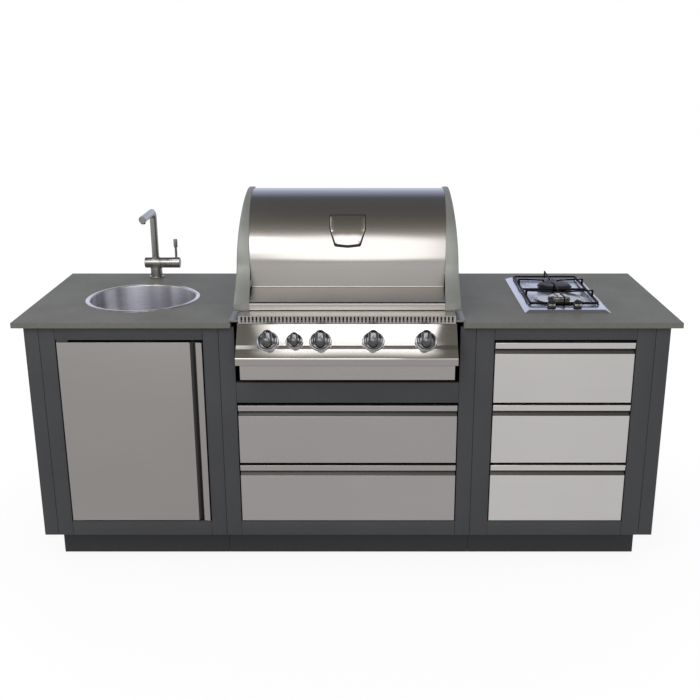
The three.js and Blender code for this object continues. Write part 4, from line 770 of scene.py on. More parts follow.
# The bowl's wall as a profile, down its inside and up its outside, and the rim's own section.
def sinkShapes():
    inner = sink["rim"] - sink["rimWidth"]
    foot, corner, floor = inner - sink["draft"], sink["corner"], -sink["depth"]
    drain, wall, lip, roll = sink["drain"], sink["wall"], sink["lip"], sink["roll"]
    bowlIn = np.concatenate(
        [
            arc((inner + lip, -sink["lipDrop"]), lip, 90, 180, 5)[1:],
            arc((foot - corner, floor + corner), corner, 0, -90, 14),
            [(drain, floor - sink["fall"])],
        ]
    )
    bowlOut = np.concatenate(
        [
            [(drain, floor - sink["fall"] - wall)],
            arc((foot - corner, floor + corner), corner + wall, -90, 0, 14),
            [(inner + wall, 0.4), (inner + lip, 1.4)],
        ]
    )
    bowl = turned(np.concatenate([bowlIn, bowlOut, bowlIn[:1]]), 128)
    section = [
        (inner + lip, 0.3),
        (sink["rim"], 0.3, 0.6),
        (sink["rim"], sink["edge"], 0.8),
        (sink["rim"] - roll, sink["rimHeight"], roll),
        (inner + roll, sink["rimHeight"] - 0.2, 3),
        (inner + lip, 1.8),
    ]
    return bowl, lathed(section, 160, closed=True)


bowl, rim = sinkShapes()
sinkPlace = (*sinkCentre, worktopTop)
addPiece("sinkBowl", [moved(bowl, sinkPlace)], sinkSteel, "island", ("sink_bowl",))
addPiece("sinkRim", [moved(rim, sinkPlace)], sinkRimSteel, "island")

wasteZ = worktopTop - sink["depth"] - sink["fall"]
waste = {
    "flange": 50,
    "bore": 36,
    "body": 40,
    "drop": 44,
    "pipe": 20,
    "pipeBore": 17,
    "length": 70,
    "nut": {"play": 0.2, "wall": 9, "height": 14, "rise": 8},
}
# The basket strainer's section, and its holes: each ring's radius and count grow by a step.
strainer = {
    "section": [
        (0, -20),
        (30, -20, 5),
        (33, 0.5, 2),
        (35.6, 1.6, 0.8),
        (35.6, 2.6, 0.8),
        (31.8, 1.6, 2),
        (28.6, -18.6, 4),
        (7, -18.6, 1),
        (6, -6, 2),
        (0, -5.4),
    ],
    "floor": -18.5,
    "hole": (1.7, 0.35),
    "rings": 4,
    "radius": (9, 5),
    "count": (10, 6),
}


# The waste's body down to its pipe, the pipe's nut, and the basket.
def wasteShapes():
    drop, tail, nut = -waste["drop"], -waste["drop"] - waste["length"], waste["nut"]
    body = lathed(
        [
            (waste["pipeBore"], tail),
            (waste["pipe"], tail, 0.5),
            (waste["pipe"], drop, 2),
            (waste["body"], drop, 4),
            (waste["body"], 0.3),
            (waste["flange"], 1.6, 0.5),
            (waste["flange"] - 1.5, 2.5, 0.8),
            (waste["bore"], 0.9, 1.2),
            (waste["bore"], drop + 2, 3),
            (waste["pipeBore"], drop + 2, 1),
        ],
        steps=4,
        closed=True,
    )
    r, low = waste["pipe"] + nut["play"], tail + nut["rise"]
    wide, high = r + nut["wall"], low + nut["height"]
    collar = lathed([(r, low), (wide, low, 1.5), (wide, high, 1.5), (r, high)], closed=True)
    return [body, collar, lathed(strainer["section"], steps=4)]


# The strainer's holes, drawn as dark discs of painted shade in rings: (r cos a, r sin a).
def strainerShapes():
    radius, thickness = strainer["hole"]
    disc = turned([(0, 0), (radius, 0), (radius, thickness), (0, thickness)], 10)
    holes = []
    for ring in range(strainer["rings"]):
        r = strainer["radius"][0] + strainer["radius"][1] * ring
        count = strainer["count"][0] + strainer["count"][1] * ring
        for a in np.linspace(0, 2 * math.pi, count, endpoint=False):
            holes.append(moved(disc, (r * math.cos(a), r * math.sin(a), strainer["floor"])))
    return holes


wastePlace = (*sinkCentre, wasteZ)
addPiece(
    "sinkWaste",
    [moved(part, wastePlace) for part in wasteShapes()],
    sinkRimSteel,
    "island",
    ("sink_waste",),
)
addPiece(
    "strainerHoleShade",
    [moved(part, wastePlace) for part in strainerShapes()],
    shadeAndJointBlack,
    "island",
)
print("sink made")

# ---- tap: column and cross barrel, swivel spout, turning cap and pin lever

tap = {
    "place": (-783, 682),
    "base": 29,
    "column": 23,
    "barrel": 21,
    "barrelZ": 974,
    "left": 43,
    "split": 20,
    "right": 98,
    "neck": 19.8,
    "neckFoot": 38.7,
    "neckTop": 60,
    "spigot": (16, 43),
    "groove": [(18.5, 18), (21.25, 18, 0.4), (21.25, 19.2, 0.4), (18.5, 19.2)],
    "collar": [(14.4, 78), (16.6, 78), (16.6, 82.6, 0.8), (14.4, 82.6, 0.5)],
    "shank": [(0, -64), (16, -64), (16, 0.6), (0, 0.6)],
    "nut": [(16.3, -29), (27, -29), (27, -21), (16.3, -21), (16.3, -29)],
    "spout": 14,
    "top": 1195,
    "reach": 195,
    "bend": 26,
    "arm": 40,
    "face": 1.4,
    "outlet": [(0, -4.5), (9, -4.5, 1), (9.8, 3, 0.8), (9.8, 12), (0, 12)],
}


# Turned about Z: column, shank, its nut and the spout's collar. Turned about X: barrel and groove.
def tapBodyShapes():
    column = [
        (0, 0.3),
        (tap["base"], 0.3, 0.8),
        (tap["base"], 5, 2),
        (tap["column"] + 1, 8, 2),
        (tap["column"], 9),
        (tap["column"], tap["neckFoot"], 0.8),
        (tap["neck"], tap["neckFoot"]),
        (tap["neck"], tap["neckTop"]),
        (0, tap["neckTop"]),
    ]
    barrel = [
        (0, -tap["left"]),
        (tap["barrel"], -tap["left"], 2.5),
        (tap["barrel"], tap["split"], 1),
        (18, tap["split"], 0.5),
        tap["spigot"],
        (0, tap["spigot"][1]),
    ]
    x, y = tap["place"]
    foot, middle = (x, y, worktopTop), (x, y, tap["barrelZ"])
    return [
        moved(lathed(column), foot),
        moved(lathed(barrel), middle, 0, math.pi / 2),
        moved(lathed(tap["groove"], closed=True), middle, 0, math.pi / 2),
        moved(turned(tap["shank"], 40), foot),
        moved(turned(tap["nut"], 6), foot),
        moved(lathed(tap["collar"], closed=True), foot),
    ]


# The spout's middle line: straight up, a quarter bend of small radius, straight to the front.
def spoutShapes():
    x, y = tap["place"]
    radius, bend = tap["spout"], tap["bend"]
    armZ = tap["top"] - radius
    turn = arc((y - bend, armZ - bend), bend, 0, 90, 14)
    foot, end = tap["barrelZ"] + tap["barrel"] - 15.5, y - tap["reach"]
    straight = [(end + tap["arm"], armZ), (end + 1.2, armZ)]
    middle = np.concatenate([[(y, foot)], [(y, foot + tap["neckTop"])], turn, straight])
    path = np.concatenate([np.full((len(middle), 1), x), middle], axis=1)
    tube = carried(circle(radius, 48), path, (1, 0, 0))
    tip = [(0, 0), (radius - 0.4, 0, 1), (radius - 0.4, tap["face"]), (0, tap["face"])]
    face = moved(lathed(tip, 48), (x, end, armZ), -math.pi / 2)
    outlet = moved(lathed(tap["outlet"], 48), (x, end + radius, armZ - radius))
    return [tube, face, outlet]


cap = {"gap": 0.6, "chamfer": 1.8, "bore": 16.5, "boreEnd": 64}


# The cap as one profile about X, hollow from the split to its bore's end.
def capShapes():
    near, bevel, bore = tap["split"] + cap["gap"], cap["chamfer"], cap["bore"]
    profile = [
        (bore, near),
        (tap["barrel"], near, 1),
        (tap["barrel"], tap["right"] - bevel, 1.4),
        (tap["barrel"] - bevel, tap["right"], 1),
        (0, tap["right"]),
        (0, cap["boreEnd"]),
        (bore, cap["boreEnd"]),
    ]
    return [moved(lathed(profile, closed=True), (*tap["place"], tap["barrelZ"]), 0, math.pi / 2)]


lever = {"x": 83, "stem": 5, "grip": 8, "gripFrom": 62, "top": 96, "foot": 6, "shoulder": 2}


# The lever's stem and its thicker grip as one profile about Z.
def leverShapes():
    x, y = tap["place"]
    profile = [
        (0, lever["foot"]),
        (lever["stem"], lever["foot"]),
        (lever["stem"], lever["gripFrom"], 1),
        (lever["grip"], lever["gripFrom"] + lever["shoulder"], 1.5),
        (lever["grip"], lever["top"], 1.6),
        (0, lever["top"]),
    ]
    return [moved(lathed(profile, 40), (x + lever["x"], y, tap["barrelZ"]))]


leverSlot = {"before": 5.6, "after": 10, "half": 14.5, "proud": 0.12, "deep": 1.0, "endShare": 0.75}


# The slot that the lever tilts in, a dark inlay of painted shade on the barrel's round:
# (x, r sin a, r cos a).
def slotShapes():
    low, high = lever["x"] - leverSlot["before"], lever["x"] + leverSlot["after"]
    rows = np.linspace(low, high, 9)
    angles = np.radians(np.linspace(-leverSlot["half"], leverSlot["half"], 9))
    inside = (rows > low) & (rows < high)
    wide = np.where(inside, 1.0, leverSlot["endShare"])[:, None] * angles[None]
    along = np.repeat(rows[:, None], 9, axis=1)
    topFace, underFace = [
        np.stack([along, radius * np.sin(wide), radius * np.cos(wide)], axis=-1)
        for radius in (tap["barrel"] + leverSlot["proud"], tap["barrel"] - leverSlot["deep"])
    ]
    rings = np.concatenate([topFace, underFace[:, ::-1]], axis=1)
    return [moved(lofted(rings), (*tap["place"], tap["barrelZ"]))]


addPiece("tapColumn", tapBodyShapes(), tapSteel, "island", ("tap_body",))
addPiece("tapSpout", spoutShapes(), tapSteel, "tap_spout", ("tap_spout",))
addPiece("tapCap", capShapes(), tapSteel, "tap_cap", ("tap_cap",))
addPiece("tapLeverSlotShade", slotShapes(), shadeAndJointBlack, "tap_cap")
addPiece("tapLever", leverShapes(), tapSteel, "tap_lever", ("tap_lever",))
print("tap made")

# ---- hob: pressed tray, two burners, pan support and knobs

hob = {
    "x": (624, 927),
    "y": (119, 646),
    "low": 914.3,
    "high": 924,
    "slope": 16,
    "well": 918,
    "wellX": (654, 897),
    "wellY": (190, 616),
    "under": 856,
    "bodyTop": 915.5,
    "body": 10,
}


# Rounded rectangles from the tray's outer edge up its slope and down into the well, and the box
# under it.
def hobTrayShapes():
    x, y, low, high, well = hob["x"], hob["y"], hob["low"], hob["high"], hob["well"]
    slope, inset = hob["slope"], hob["body"]
    outside = [
        (0, low, 9),
        (0.0, low + 0.9, 9),
        (0.8, low + 1.6, 9),
        (slope - 2, high - 0.9, 7),
        (slope - 0.8, high - 0.3, 7),
        (slope + 0.8, high, 7),
    ]
    inside = [
        (-3, high, 16),
        (-1.2, high - 0.4, 15),
        (0, high - 1.6, 14),
        (1, well + 1.4, 13),
        (2.2, well + 0.4, 12),
        (4, well, 11),
    ]
    rings = stacked(x, y, outside) + stacked(hob["wellX"], hob["wellY"], inside)
    outline = rectangle((x[0] + inset, x[1] - inset), (y[0] + inset, y[1] - inset), 4, 3)
    return [lofted(np.array(rings)), drawn(outline, "z", hob["under"], hob["bodyTop"], 1)]


addPiece("hobTray", hobTrayShapes(), hobSteel, "island", ("hob_tray",))


burners = {
    "front": {"aside": 0, "y": 300, "size": (89, 41, 36, 7)},
    "rear": {"aside": 16, "y": 480, "size": (66, 50, 61, 8)},
}
crownTeeth = {"count": 30, "depth": (5.2, 2.2), "half": 1.6, "z": (5.8, 9.9), "ease": 0.3}


# A burner of a dish, a crown whose teeth leave flame slots between them, and a cap on the teeth.
def burnerShapes(dish, crown, cap, capHeight):
    dishLine = [
        (crown - 6, 0.6),
        (dish - 8, 1.4, 6),
        (dish - 1, 6.6, 2),
        (dish, 6.9, 0.4),
        (dish, 7.5, 0.4),
        (dish - 3, 7.6, 2),
        (dish - 10, 2.6, 6),
        (crown - 6, 2.2),
    ]
    crownLine = [
        (0, 1.5),
        (crown, 1.5, 1),
        (crown, 5, 1),
        (crown - 3, 6.4),
        (crown - 4, 9.8),
        (0, 9.8),
    ]
    capFoot = crownTeeth["z"][1]
    capLine = [
        (0, capFoot),
        (cap, capFoot, 1),
        (cap, capFoot + capHeight * 0.55, capHeight * 0.3),
        (cap - capHeight, capFoot + capHeight, capHeight * 0.6),
        (0, 10.1 + capHeight),
    ]
    depth, half = crownTeeth["depth"], crownTeeth["half"]
    tooth = board(
        (crown - depth[0], crown - depth[1]), (-half, half), crownTeeth["z"], crownTeeth["ease"]
    )
    teeth = [
        moved(tooth, (0, 0, 0), turnZ=angle)
        for angle in np.linspace(0, 2 * math.pi, crownTeeth["count"], endpoint=False)
    ]
    crowned = [lathed(crownLine), *teeth]
    return lathed(dishLine, 96, 6, closed=True), crowned, lathed(capLine, 96, 6)


burnerFinish = {
    "front": (dishSteel, burnedAlloy, dishSteel),
    "rear": (brownEnamel, burnedAlloy, brownEnamel),
}
for name, spec in burners.items():
    dish, crown, cover = burnerShapes(*spec["size"])
    place = (hobCentreX + spec["aside"], spec["y"], hob["well"])
    node, title = "hob_" + name + "_burner", "hob" + name.title()
    steels = burnerFinish[name]
    addPiece(title + "Dish", [moved(dish, place)], steels[0], "island", (node,))
    addPiece(title + "Crown", [moved(s, place) for s in crown], steels[1], "island")
    addPiece(title + "Cap", [moved(cover, place)], steels[2], "island")

support = {
    "x": (650, 901),
    "y": (196, 617),
    "z": (927, 935),
    "bar": 8,
    "finger": 5,
    "tip": 955,
    "drop": 4,
    "turnDown": 8,
    "depth": 5,
    "gap": 24,
    "corner": 9,
    "ease": 1.2,
    "footZ": 924.3,
    "leg": (0.5, 6),
    "legFoot": 918.8,
}


# A finger's outline: up from the frame, along to the burner, and turned down at its inner end.
def fingerLine(start, end):
    sign = 1 if end > start else -1
    low, tip, bar = support["z"][0], support["tip"], support["bar"]
    high = tip - support["drop"]
    turn = end - sign * support["depth"]
    return filleted(
        [
            (start, low),
            (start, tip, 2),
            (start + sign * bar, tip, 3),
            (end, high, 4),
            (end, high - support["turnDown"], 1.5),
            (turn, high - support["turnDown"], 1.5),
            (turn, high - support["depth"], 3),
            (start + sign * bar, tip - support["depth"], 3),
            (start + sign * bar, low),
        ],
        4,
    )


# A bar carried round a rounded rectangle, a cross bar, four fingers over each burner, and feet.
def panSupportShapes():
    x, y, z, bar = support["x"], support["y"], support["z"], support["bar"]
    middle = (y[0] + y[1]) / 2
    deep, edge = (z[1] - z[0]) / 2, bar / 2
    section = rectangle((-edge, edge), (-deep, deep), 1.8, 3)
    loop = rectangle((x[0] + edge, x[1] - edge), (y[0] + edge, y[1] - edge), support["corner"])
    frameLoop = carried(section, spread(loop, (z[0] + z[1]) / 2, "z"), closed=True)
    cross = board((x[0] + edge, x[1] - edge), (middle - edge, middle + edge), z, 2)
    half, gap, ease = support["finger"] / 2, support["gap"], support["ease"]
    thin = (hobCentreX - half, hobCentreX + half)
    fingers = []
    for spec in burners.values():
        isFront = spec["y"] < middle
        near = y[0] if isFront else middle - edge
        far = middle + edge if isFront else y[1]
        centre = spec["y"]
        wide = (centre - half, centre + half)
        fingers += [
            drawn(fingerLine(x[0], hobCentreX - gap), "y", *wide, ease),
            drawn(fingerLine(x[1], hobCentreX + gap), "y", *wide, ease),
            drawn(fingerLine(near, centre - gap), "x", *thin, ease),
            drawn(fingerLine(far, centre + gap), "x", *thin, ease),
        ]
    feet = [
        board((fx, fx + bar), (fy, fy + bar), (support["footZ"], z[0] + 1), 2)
        for fx in (x[0], x[1] - bar)
        for fy in (y[0], y[1] - bar)
    ]
    legY = (y[0] + support["leg"][0], y[0] + support["leg"][1])
    leg = board(thin, legY, (support["legFoot"], z[1]), 1)
    return [frameLoop, cross, *fingers, *feet, leg]


addPiece(
    "hobPanSupport", panSupportShapes(), blackEnamel, "pan_support", ("pan_support",)
)


hobKnobs = {
    "x": {"left": 723.8, "right": 816.2},
    "y": 164,
    "base": [(0, 1), (15, 1, 1), (14.6, 7, 1.5), (12, 8.5), (0, 8.5)],
    "ring": [(0, 8.5), (14, 8.5, 1), (14, 15, 1), (0, 15)],
    "grip": [(0, 15), (13.2, 15, 1), (12.2, 25, 2.4), (0, 26)],
    "bar": ((-4.6, 4.6), (-14.6, 14.6), (14, 26.6), 2),
}
for name, x in hobKnobs["x"].items():
    base, ring, grip = (lathed(hobKnobs[part], 48) for part in ("base", "ring", "grip"))
    dark, light = [base, grip, board(*hobKnobs["bar"])], [ring]
    place = (x, hobKnobs["y"], hob["high"])
    body = "hob_" + name + "_knob"
    title = "hob" + name.title() + "Knob"
    addPiece(title, [moved(s, place) for s in dark], rubber, body, (body,))
    addPiece(title + "Ring", [moved(s, place) for s in light], chrome, body)
print("hob made")

# ---- grill: lid skin with its scoop, bowed end castings, bare plate

lid = {
    "foot": 940.3,
    "front": 61,
    "strip": 966,
    "step": 6,
    "floor": 970,
    "wall": 165,
    "scoop": 5,
    "rise": 29,
    "slot": 13,
    "crease": 1089,
    "dome": (430, 1038),
    "radius": 270,
    "rear": 1015,
    "skin": 3,
    "proud": 5,
    "half": 389,
    "flare": 4,
    "bow": 1750,
    "bowZ": 1050,
    "rimLow": 337,
    "rimHigh": 350,
    "rimFrom": 940,
    "top": 1313,
    "seam": 0.3,
    "pivot": (655, 975),
    "plate": 10,
}


# The skin as (y, z) lines. Outside: grip strip, folded slot, scoop, crease, dome, back edge.
# Inside: the same, past the slot in one step.
def skinLines():
    start = 180 - math.degrees(math.asin((lid["crease"] - lid["dome"][1]) / lid["radius"]))
    step, strip, floor = lid["front"] + lid["step"], lid["strip"], lid["floor"]
    slotEnd = step + lid["slot"]
    corner = [
        (lid["wall"], floor + lid["rise"], lid["scoop"]),
        (lid["wall"], lid["crease"] - 4),
    ]
    grip = filleted(
        [
            (lid["front"] + 1.5, lid["foot"]),
            (lid["front"], lid["foot"] + 5, 6),
            (lid["front"], strip, 3.2),
            (slotEnd, strip, 0.5),
            (slotEnd, strip + 2.5, 0.5),
            (step, strip + 2.5, 0.3),
            (step, floor, 0.8),
            *corner,
        ],
        10,
    )
    dome = arc(lid["dome"], lid["radius"], start, 0, 64)
    back = [(lid["dome"][0] + lid["radius"], lid["rear"])]
    outer = np.concatenate([grip, dome[1:], back])
    slope = lid["rise"] / (lid["wall"] - step)
    behind = slotEnd + lid["skin"]
    rear = filleted([(behind, floor + slope * (behind - step)), *corner], 10)
    inner = shifted(np.concatenate([rear, dome[1:], back]), -lid["skin"], False)
    under = strip - lid["skin"]
    toe = [(lid["front"] + 1.5 + lid["skin"], lid["foot"]), (lid["front"] + lid["skin"], under)]
    return outer, np.concatenate([toe, [(inner[0, 0], under)], inner])


# The rim's inner edge, which widens from the foot to the top: low + (high - low) (z - z0) / h.
def rimEdge(z):
    foot = lid["rimFrom"]
    return lid["rimLow"] + (lid["rimHigh"] - lid["rimLow"]) * (z - foot) / (lid["top"] - foot)


# The outer half-width: full at the foot, then leaning in on a large bow.
def bowed(z):
    rise = np.maximum(z - lid["bowZ"], 0)
    fall = np.maximum(lid["bowZ"] - z, 0) / (lid["bowZ"] - lid["foot"] + 5)
    return lid["half"] + lid["flare"] * fall - (lid["bow"] - np.sqrt(lid["bow"] ** 2 - rise**2))


# The skin's section at 25 stations from rim to rim: x = share (rim's edge - seam).
def lidSkinShapes():
    outer, inner = skinLines()
    section = np.concatenate([outer, inner[::-1]])
    share = np.linspace(-1, 1, 25)[:, None]
    y, z = section.T
    x = share * (rimEdge(z) - lid["seam"])
    return [lofted(np.stack([x, np.tile(y, (25, 1)), np.tile(z, (25, 1))], axis=-1))]


bowEnd = {
    "toe": [(59.5, 0), (57.4, 3), (57, 8)],
    "knee": 10,
    "heel": 400,
    "middle": (430.0, 1010.0),
    "edge": 4.5,
    "bevel": [(0, 2), (0.8, 0.4)],
    "lip": 2.5,
}


# Each casting is one skin over its side outline: the outline's middle, out to its rounded outer
# edge, across the rim to its inner edge, and back inside to the middle.
def castingShapes(sign):
    radius = lid["radius"] + lid["proud"]
    start = 180 - math.degrees(math.asin((lid["crease"] - lid["dome"][1]) / radius))
    dome = arc(lid["dome"], radius, start, 0, 56)
    t = np.linspace(0, 1, 15)[:, None]
    toe = [(y, lid["foot"] + rise) for y, rise in bowEnd["toe"]]
    foot = np.array([toe[-1][0], lid["strip"]])
    knee = dome[0][0] - bowEnd["knee"], (lid["crease"] + lid["strip"]) / 2 + bowEnd["knee"]
    brow = (1 - t) ** 2 * foot + 2 * t * (1 - t) * np.array(knee) + t**2 * dome[0]
    back = [(dome[-1][0], lid["rear"])]
    rimLine = np.concatenate([toe, brow, dome[1:], back])
    corner = arc(lid["pivot"], lid["pivot"][1] - lid["foot"], 0, -90, 8)
    plateLine = np.concatenate([back, corner, [(bowEnd["heel"], lid["foot"])], toe[:1]])
    outline = np.concatenate([rimLine, plateLine])
    isRim = np.arange(len(outline)) < len(rimLine)
    ahead = np.roll(outline, -1, axis=0) - np.roll(outline, 1, axis=0)
    ahead /= np.linalg.norm(ahead, axis=1, keepdims=True)
    inward = np.stack([ahead[:, 1], -ahead[:, 0]], axis=-1)
    middle = np.array(bowEnd["middle"])
    edge, plate = bowEnd["edge"], lid["plate"]
    rows = []

    # One row of the skin: the line's (y, z) at a half-width x.
    def row(line, x):
        rows.append(np.stack([sign * x, line[:, 0], line[:, 1]], axis=-1))

    # The outline moved inward along its normals: p + n d.
    def inset(depth):
        return outline + inward * depth

    for share in (1.0, 0.75, 0.5, 0.25, 0.08):
        line = inset(edge) + (middle - inset(edge)) * share
        row(line, bowed(line[:, 1]))
    for angle in np.radians(np.linspace(0, 90, 6)):
        line = inset(edge * (1 - math.sin(angle)))
        row(line, bowed(line[:, 1]) - edge * (1 - math.cos(angle)))
    outer = bowed(outline[:, 1])
    inner = np.where(isRim, rimEdge(outline[:, 1]), outer - plate)
    for depth, out in bowEnd["bevel"]:
        row(inset(depth), np.where(isRim, inner + out, outer - plate))
    row(inset(bowEnd["lip"]), inner)
    row(inset(plate), inner)
    for share in (0.0, 0.3, 0.6, 1.0):
        line = inset(plate) + (middle - inset(plate)) * share
        row(line, bowed(line[:, 1]) - plate)
    rings = np.array(rows)
    return [(rings.reshape(-1, 3), gridFaces(len(rows), len(outline), False, True))]


made = addPiece("lidSkin", lidSkinShapes(), lidSteel, "lid", ("lid_skin",), 30)
_, y, z = faceCentres(made).T
margin = {"below": 0.6, "above": 0.2, "before": 1.2, "behind": 0.5}  # slack round slot and scoop
scoopY, scoopZ = lid["front"] + lid["step"], lid["floor"] - margin["above"]
inSlot = (z > lid["strip"] - margin["below"]) & (z < scoopZ)
inSlot &= (y > scoopY - margin["before"]) & (y < scoopY + lid["slot"] + margin["behind"])
inScoop = (y > scoopY) & (y < lid["wall"] + margin["behind"]) & (z > scoopZ) & (z < lid["crease"])
# The scoop takes a rougher steel; the folded slot takes black as painted shade.
refinish(made, [(scoopSteel, inScoop), (shadeAndJointBlack, inSlot)])
for name, sign in (("left", -1), ("right", 1)):
    addPiece(
        name + "LidCasting",
        castingShapes(sign),
        casting,
        "lid",
        (name + "_lid_casting",),
        40,
    )

badge = {
    "top": 47.8,
    "bottom": 23.2,
    "halfTop": 60,
    "halfBottom": 42,
    "rim": 4,
    "toe": 5,
    "splay": 2.2,
    "corner": 6,
    "side": 60,
    "heel": 9,
    "sag": 90,
    "bevel": 0.6,
    "inset": 0.985,
}


# The bare plate: drawn flat as (x, length along the arc) and laid on the dome, where the angle is
# the length over the dome's radius. Inner rings keep its face on the dome's round.
def badgeShapes(grow, low, high):
    start, end = math.radians(badge["bottom"]), math.radians(badge["top"])
    reach = (end - start) * lid["radius"]
    bevel = high - badge["bevel"]
    top, foot, sag = badge["halfTop"] + grow, badge["halfBottom"] + grow, grow * badge["splay"]
    flat = filleted(
        [
            (-top, reach + grow, badge["corner"]),
            (-top, reach * 0.5, badge["side"]),
            (-foot, badge["toe"] - sag, badge["heel"]),
            (0, -sag, badge["sag"]),
            (foot, badge["toe"] - sag, badge["heel"]),
            (top, reach * 0.5, badge["side"]),
            (top, reach + grow, badge["corner"]),
        ],
        8,
    )
    flat = resampled(flat, 3)
    centre = np.array([0, reach / 2])
    levels = ((0.0, low), (1.0, low), (1.0, bevel), (badge["inset"], high), (0.0, high))
    rings = []
    for share, height in levels:
        line = centre + (flat - centre) * share
        angle = start + line[:, 1] / lid["radius"]
        radius = lid["radius"] + height
        y = lid["dome"][0] - radius * np.cos(angle)
        z = lid["dome"][1] + radius * np.sin(angle)
        rings.append(np.stack([line[:, 0], y, z], axis=-1))
    rings = np.array(rings)
    inner = [rings[1] + (rings[0] - rings[1]) * s for s in (0.75, 0.5, 0.25)]
    over = [rings[3] + (rings[4] - rings[3]) * s for s in (0.25, 0.5, 0.75)]
    full = np.array([rings[0], *inner, rings[1], rings[2], rings[3], *over, rings[4]])
    y, z = full[..., 1] - lid["dome"][0], full[..., 2] - lid["dome"][1]
    wanted = lid["radius"] + np.concatenate([[low] * 5, [bevel], [high] * 5])[:, None]
    now = np.sqrt(y**2 + z**2)
    full[..., 1] = lid["dome"][0] + y * wanted / now
    full[..., 2] = lid["dome"][1] + z * wanted / now
    return [(full.reshape(-1, 3), gridFaces(len(full), len(flat), False, True))]


addPiece("lidPlateSurround", badgeShapes(badge["rim"], -0.5, 1.2), shadeAndJointBlack, "lid")
addPiece("lidPlate", badgeShapes(0, 0.2, 2.4), plateSteel, "lid")
print("lid made")

# ---- grill: control panel with a rolled nose, bezels, knobs, sill and drip tray

panel = {
    "half": 373,
    "top": 910,
    "reach": 96,
    "nose": 816,
    "lip": 791,
    "radius": 10,
    "return": 18,
    "sheet": 3,
    "back": 61.7,
    "foot": 757,
    "heel": 11,
    "cheek": {"in": 1, "under": 0.8, "sheet": 2.5, "ease": 0.5},
}
slope = math.atan2(panel["top"] - panel["nose"], panel["reach"])
setBack = {"depth": 2.6, "from": 0.6, "to": 0.73, "radius": 14}


# A point on the panel's slope, a share of the way down and a depth under it.
def onSlope(share, depth=0.0):
    y = -panel["reach"] * share + depth * math.sin(slope)
    return y, panel["top"] - (panel["top"] - panel["nose"]) * share - depth * math.cos(slope)


# A folded sheet along X with a step in its slope, and a cheek plate inside each end.
def panelShapes():
    nose = [
        (panel["back"], panel["top"]),
        (0, panel["top"], 3),
        (*onSlope(setBack["from"], setBack["depth"]), setBack["radius"]),
        (*onSlope(setBack["to"]), setBack["radius"]),
        (-panel["reach"], panel["nose"], panel["radius"]),
        (-panel["reach"], panel["lip"], 3),
        (-panel["reach"] + panel["return"], panel["lip"]),
    ]
    outer = filleted(nose, 10)
    section = np.concatenate([outer, shifted(outer, panel["sheet"], False)[::-1]])
    skin = drawn(section, "x", -panel["half"], panel["half"], 0.6)
    inset, under, sheet, ease = panel["cheek"].values()
    rear, front = panel["back"] - ease, -panel["reach"] + inset
    cheek = filleted(
        [
            (rear, panel["top"] - inset),
            (0, panel["top"] - inset, 3),
            onSlope(setBack["from"], setBack["depth"] + under),
            onSlope(setBack["to"], under),
            (front, panel["nose"], panel["radius"]),
            (front, panel["lip"] + inset, 3),
            (panel["heel"], panel["foot"], 3),
            (rear, panel["foot"], 2),
        ],
        10,
    )
    cheeks = [
        drawn(cheek, "x", *sorted((sign * panel["half"], sign * (panel["half"] - sheet))), ease)
        for sign in (-1, 1)
    ]
    return [skin, *cheeks]


addPiece("controlPanel", panelShapes(), panelSteel, "island", ("control_panel",), 30)

knobCentre = (-48, 863)
knobs = {
    "knob_1": (-267, 1),
    "ignition_knob": (-177, 0.78),
    "knob_2": (-89, 1),
    "knob_3": (89, 1),
    "knob_4": (267, 1),
}
knob = {
    "width": 17.5,
    "length": 29,
    "top": 42,
    "shoulder": 27,
    "foot": 6.0,
    "seat": 8,
    "draft": [(0.6, 0, 0.995), (1, -2, 0.99)],
    "crown": 0.985,
    "ends": 0.55,
}


bezel = {
    "ring": [(33.6, -3), (38, -3), (38, 3, 1.6), (36.2, 6, 1.6), (34.2, 6, 0.8), (33.6, 4.6, 0.6)],
    "dish": [(0, 0.2), (33.8, 0.2), (33.8, 0.9), (0, 0.9)],
}


# A ring and the dish in it, both turned about the knob's axis and widened by the knob's size.
def bezelShapes(size):
    ring = lathed(bezel["ring"], 96, 4, closed=True, widen=size)
    return [ring, lathed(bezel["dish"], 64, 3, widen=size)]


# The finger bar: stadium rings, all but straight up to its shoulder and crowned above it. Over the
# crown the half-width is w sqrt(1 - t^2), with t running from 0 at the shoulder to 1 at the top.
# Its straight sides shorten less: to a share of 0.55 where its width is nil.
def gripRings(size):
    half, length, shoulder = knob["width"], knob["length"], knob["shoulder"]
    crown = [math.sin(math.radians(angle)) for angle in (0, 12, 25, 38, 50, 60, 69, 77, 84, 88)]
    rise, ends, seat = knob["top"] - shoulder, knob["ends"], knob["seat"]
    levels = [(knob["foot"], 1.0)]
    levels += [(shoulder * share + drop, wide) for share, drop, wide in knob["draft"]]
    levels += [(shoulder + rise * t, knob["crown"] * math.sqrt(1 - t**2)) for t in crown]
    rings = []
    for z, wide in levels:
        radius = half * wide
        straight = (length - half) * (ends + (1 - ends) * wide)
        outline = np.concatenate(
            [
                arc((0, straight), radius, 0, 180, 14),
                arc((0, -straight), radius, 180, 360, 14),
            ]
        )
        rings.append(spread(outline * size, seat + (z - seat) * size if z > seat else z, "z"))
    return lofted(np.array(rings))


skirt = [
    (0, 1.6),
    (32.3, 1.6, 0.8),
    (32.3, 4, 1.2),
    (29, 6.4, 2),
    (25, 7.2, 2),
    (21, 11.5, 4),
    (0, 12),
]
for body, (x, size) in knobs.items():
    place = (x, *knobCentre)
    title = body.title().replace("_", "")
    shapes = [moved(s, place, slope) for s in bezelShapes(size)]
    addPiece("bezel" + title, shapes, bezelChrome, "island")
    grip = [lathed(skirt, 80, 4, widen=size), gripRings(size)]
    shapes = [moved(s, place, slope) for s in grip]
    addPiece("grill" + title, shapes, shadedKnobChrome, body, (body,))
dress("vent_sill", grillSteel)

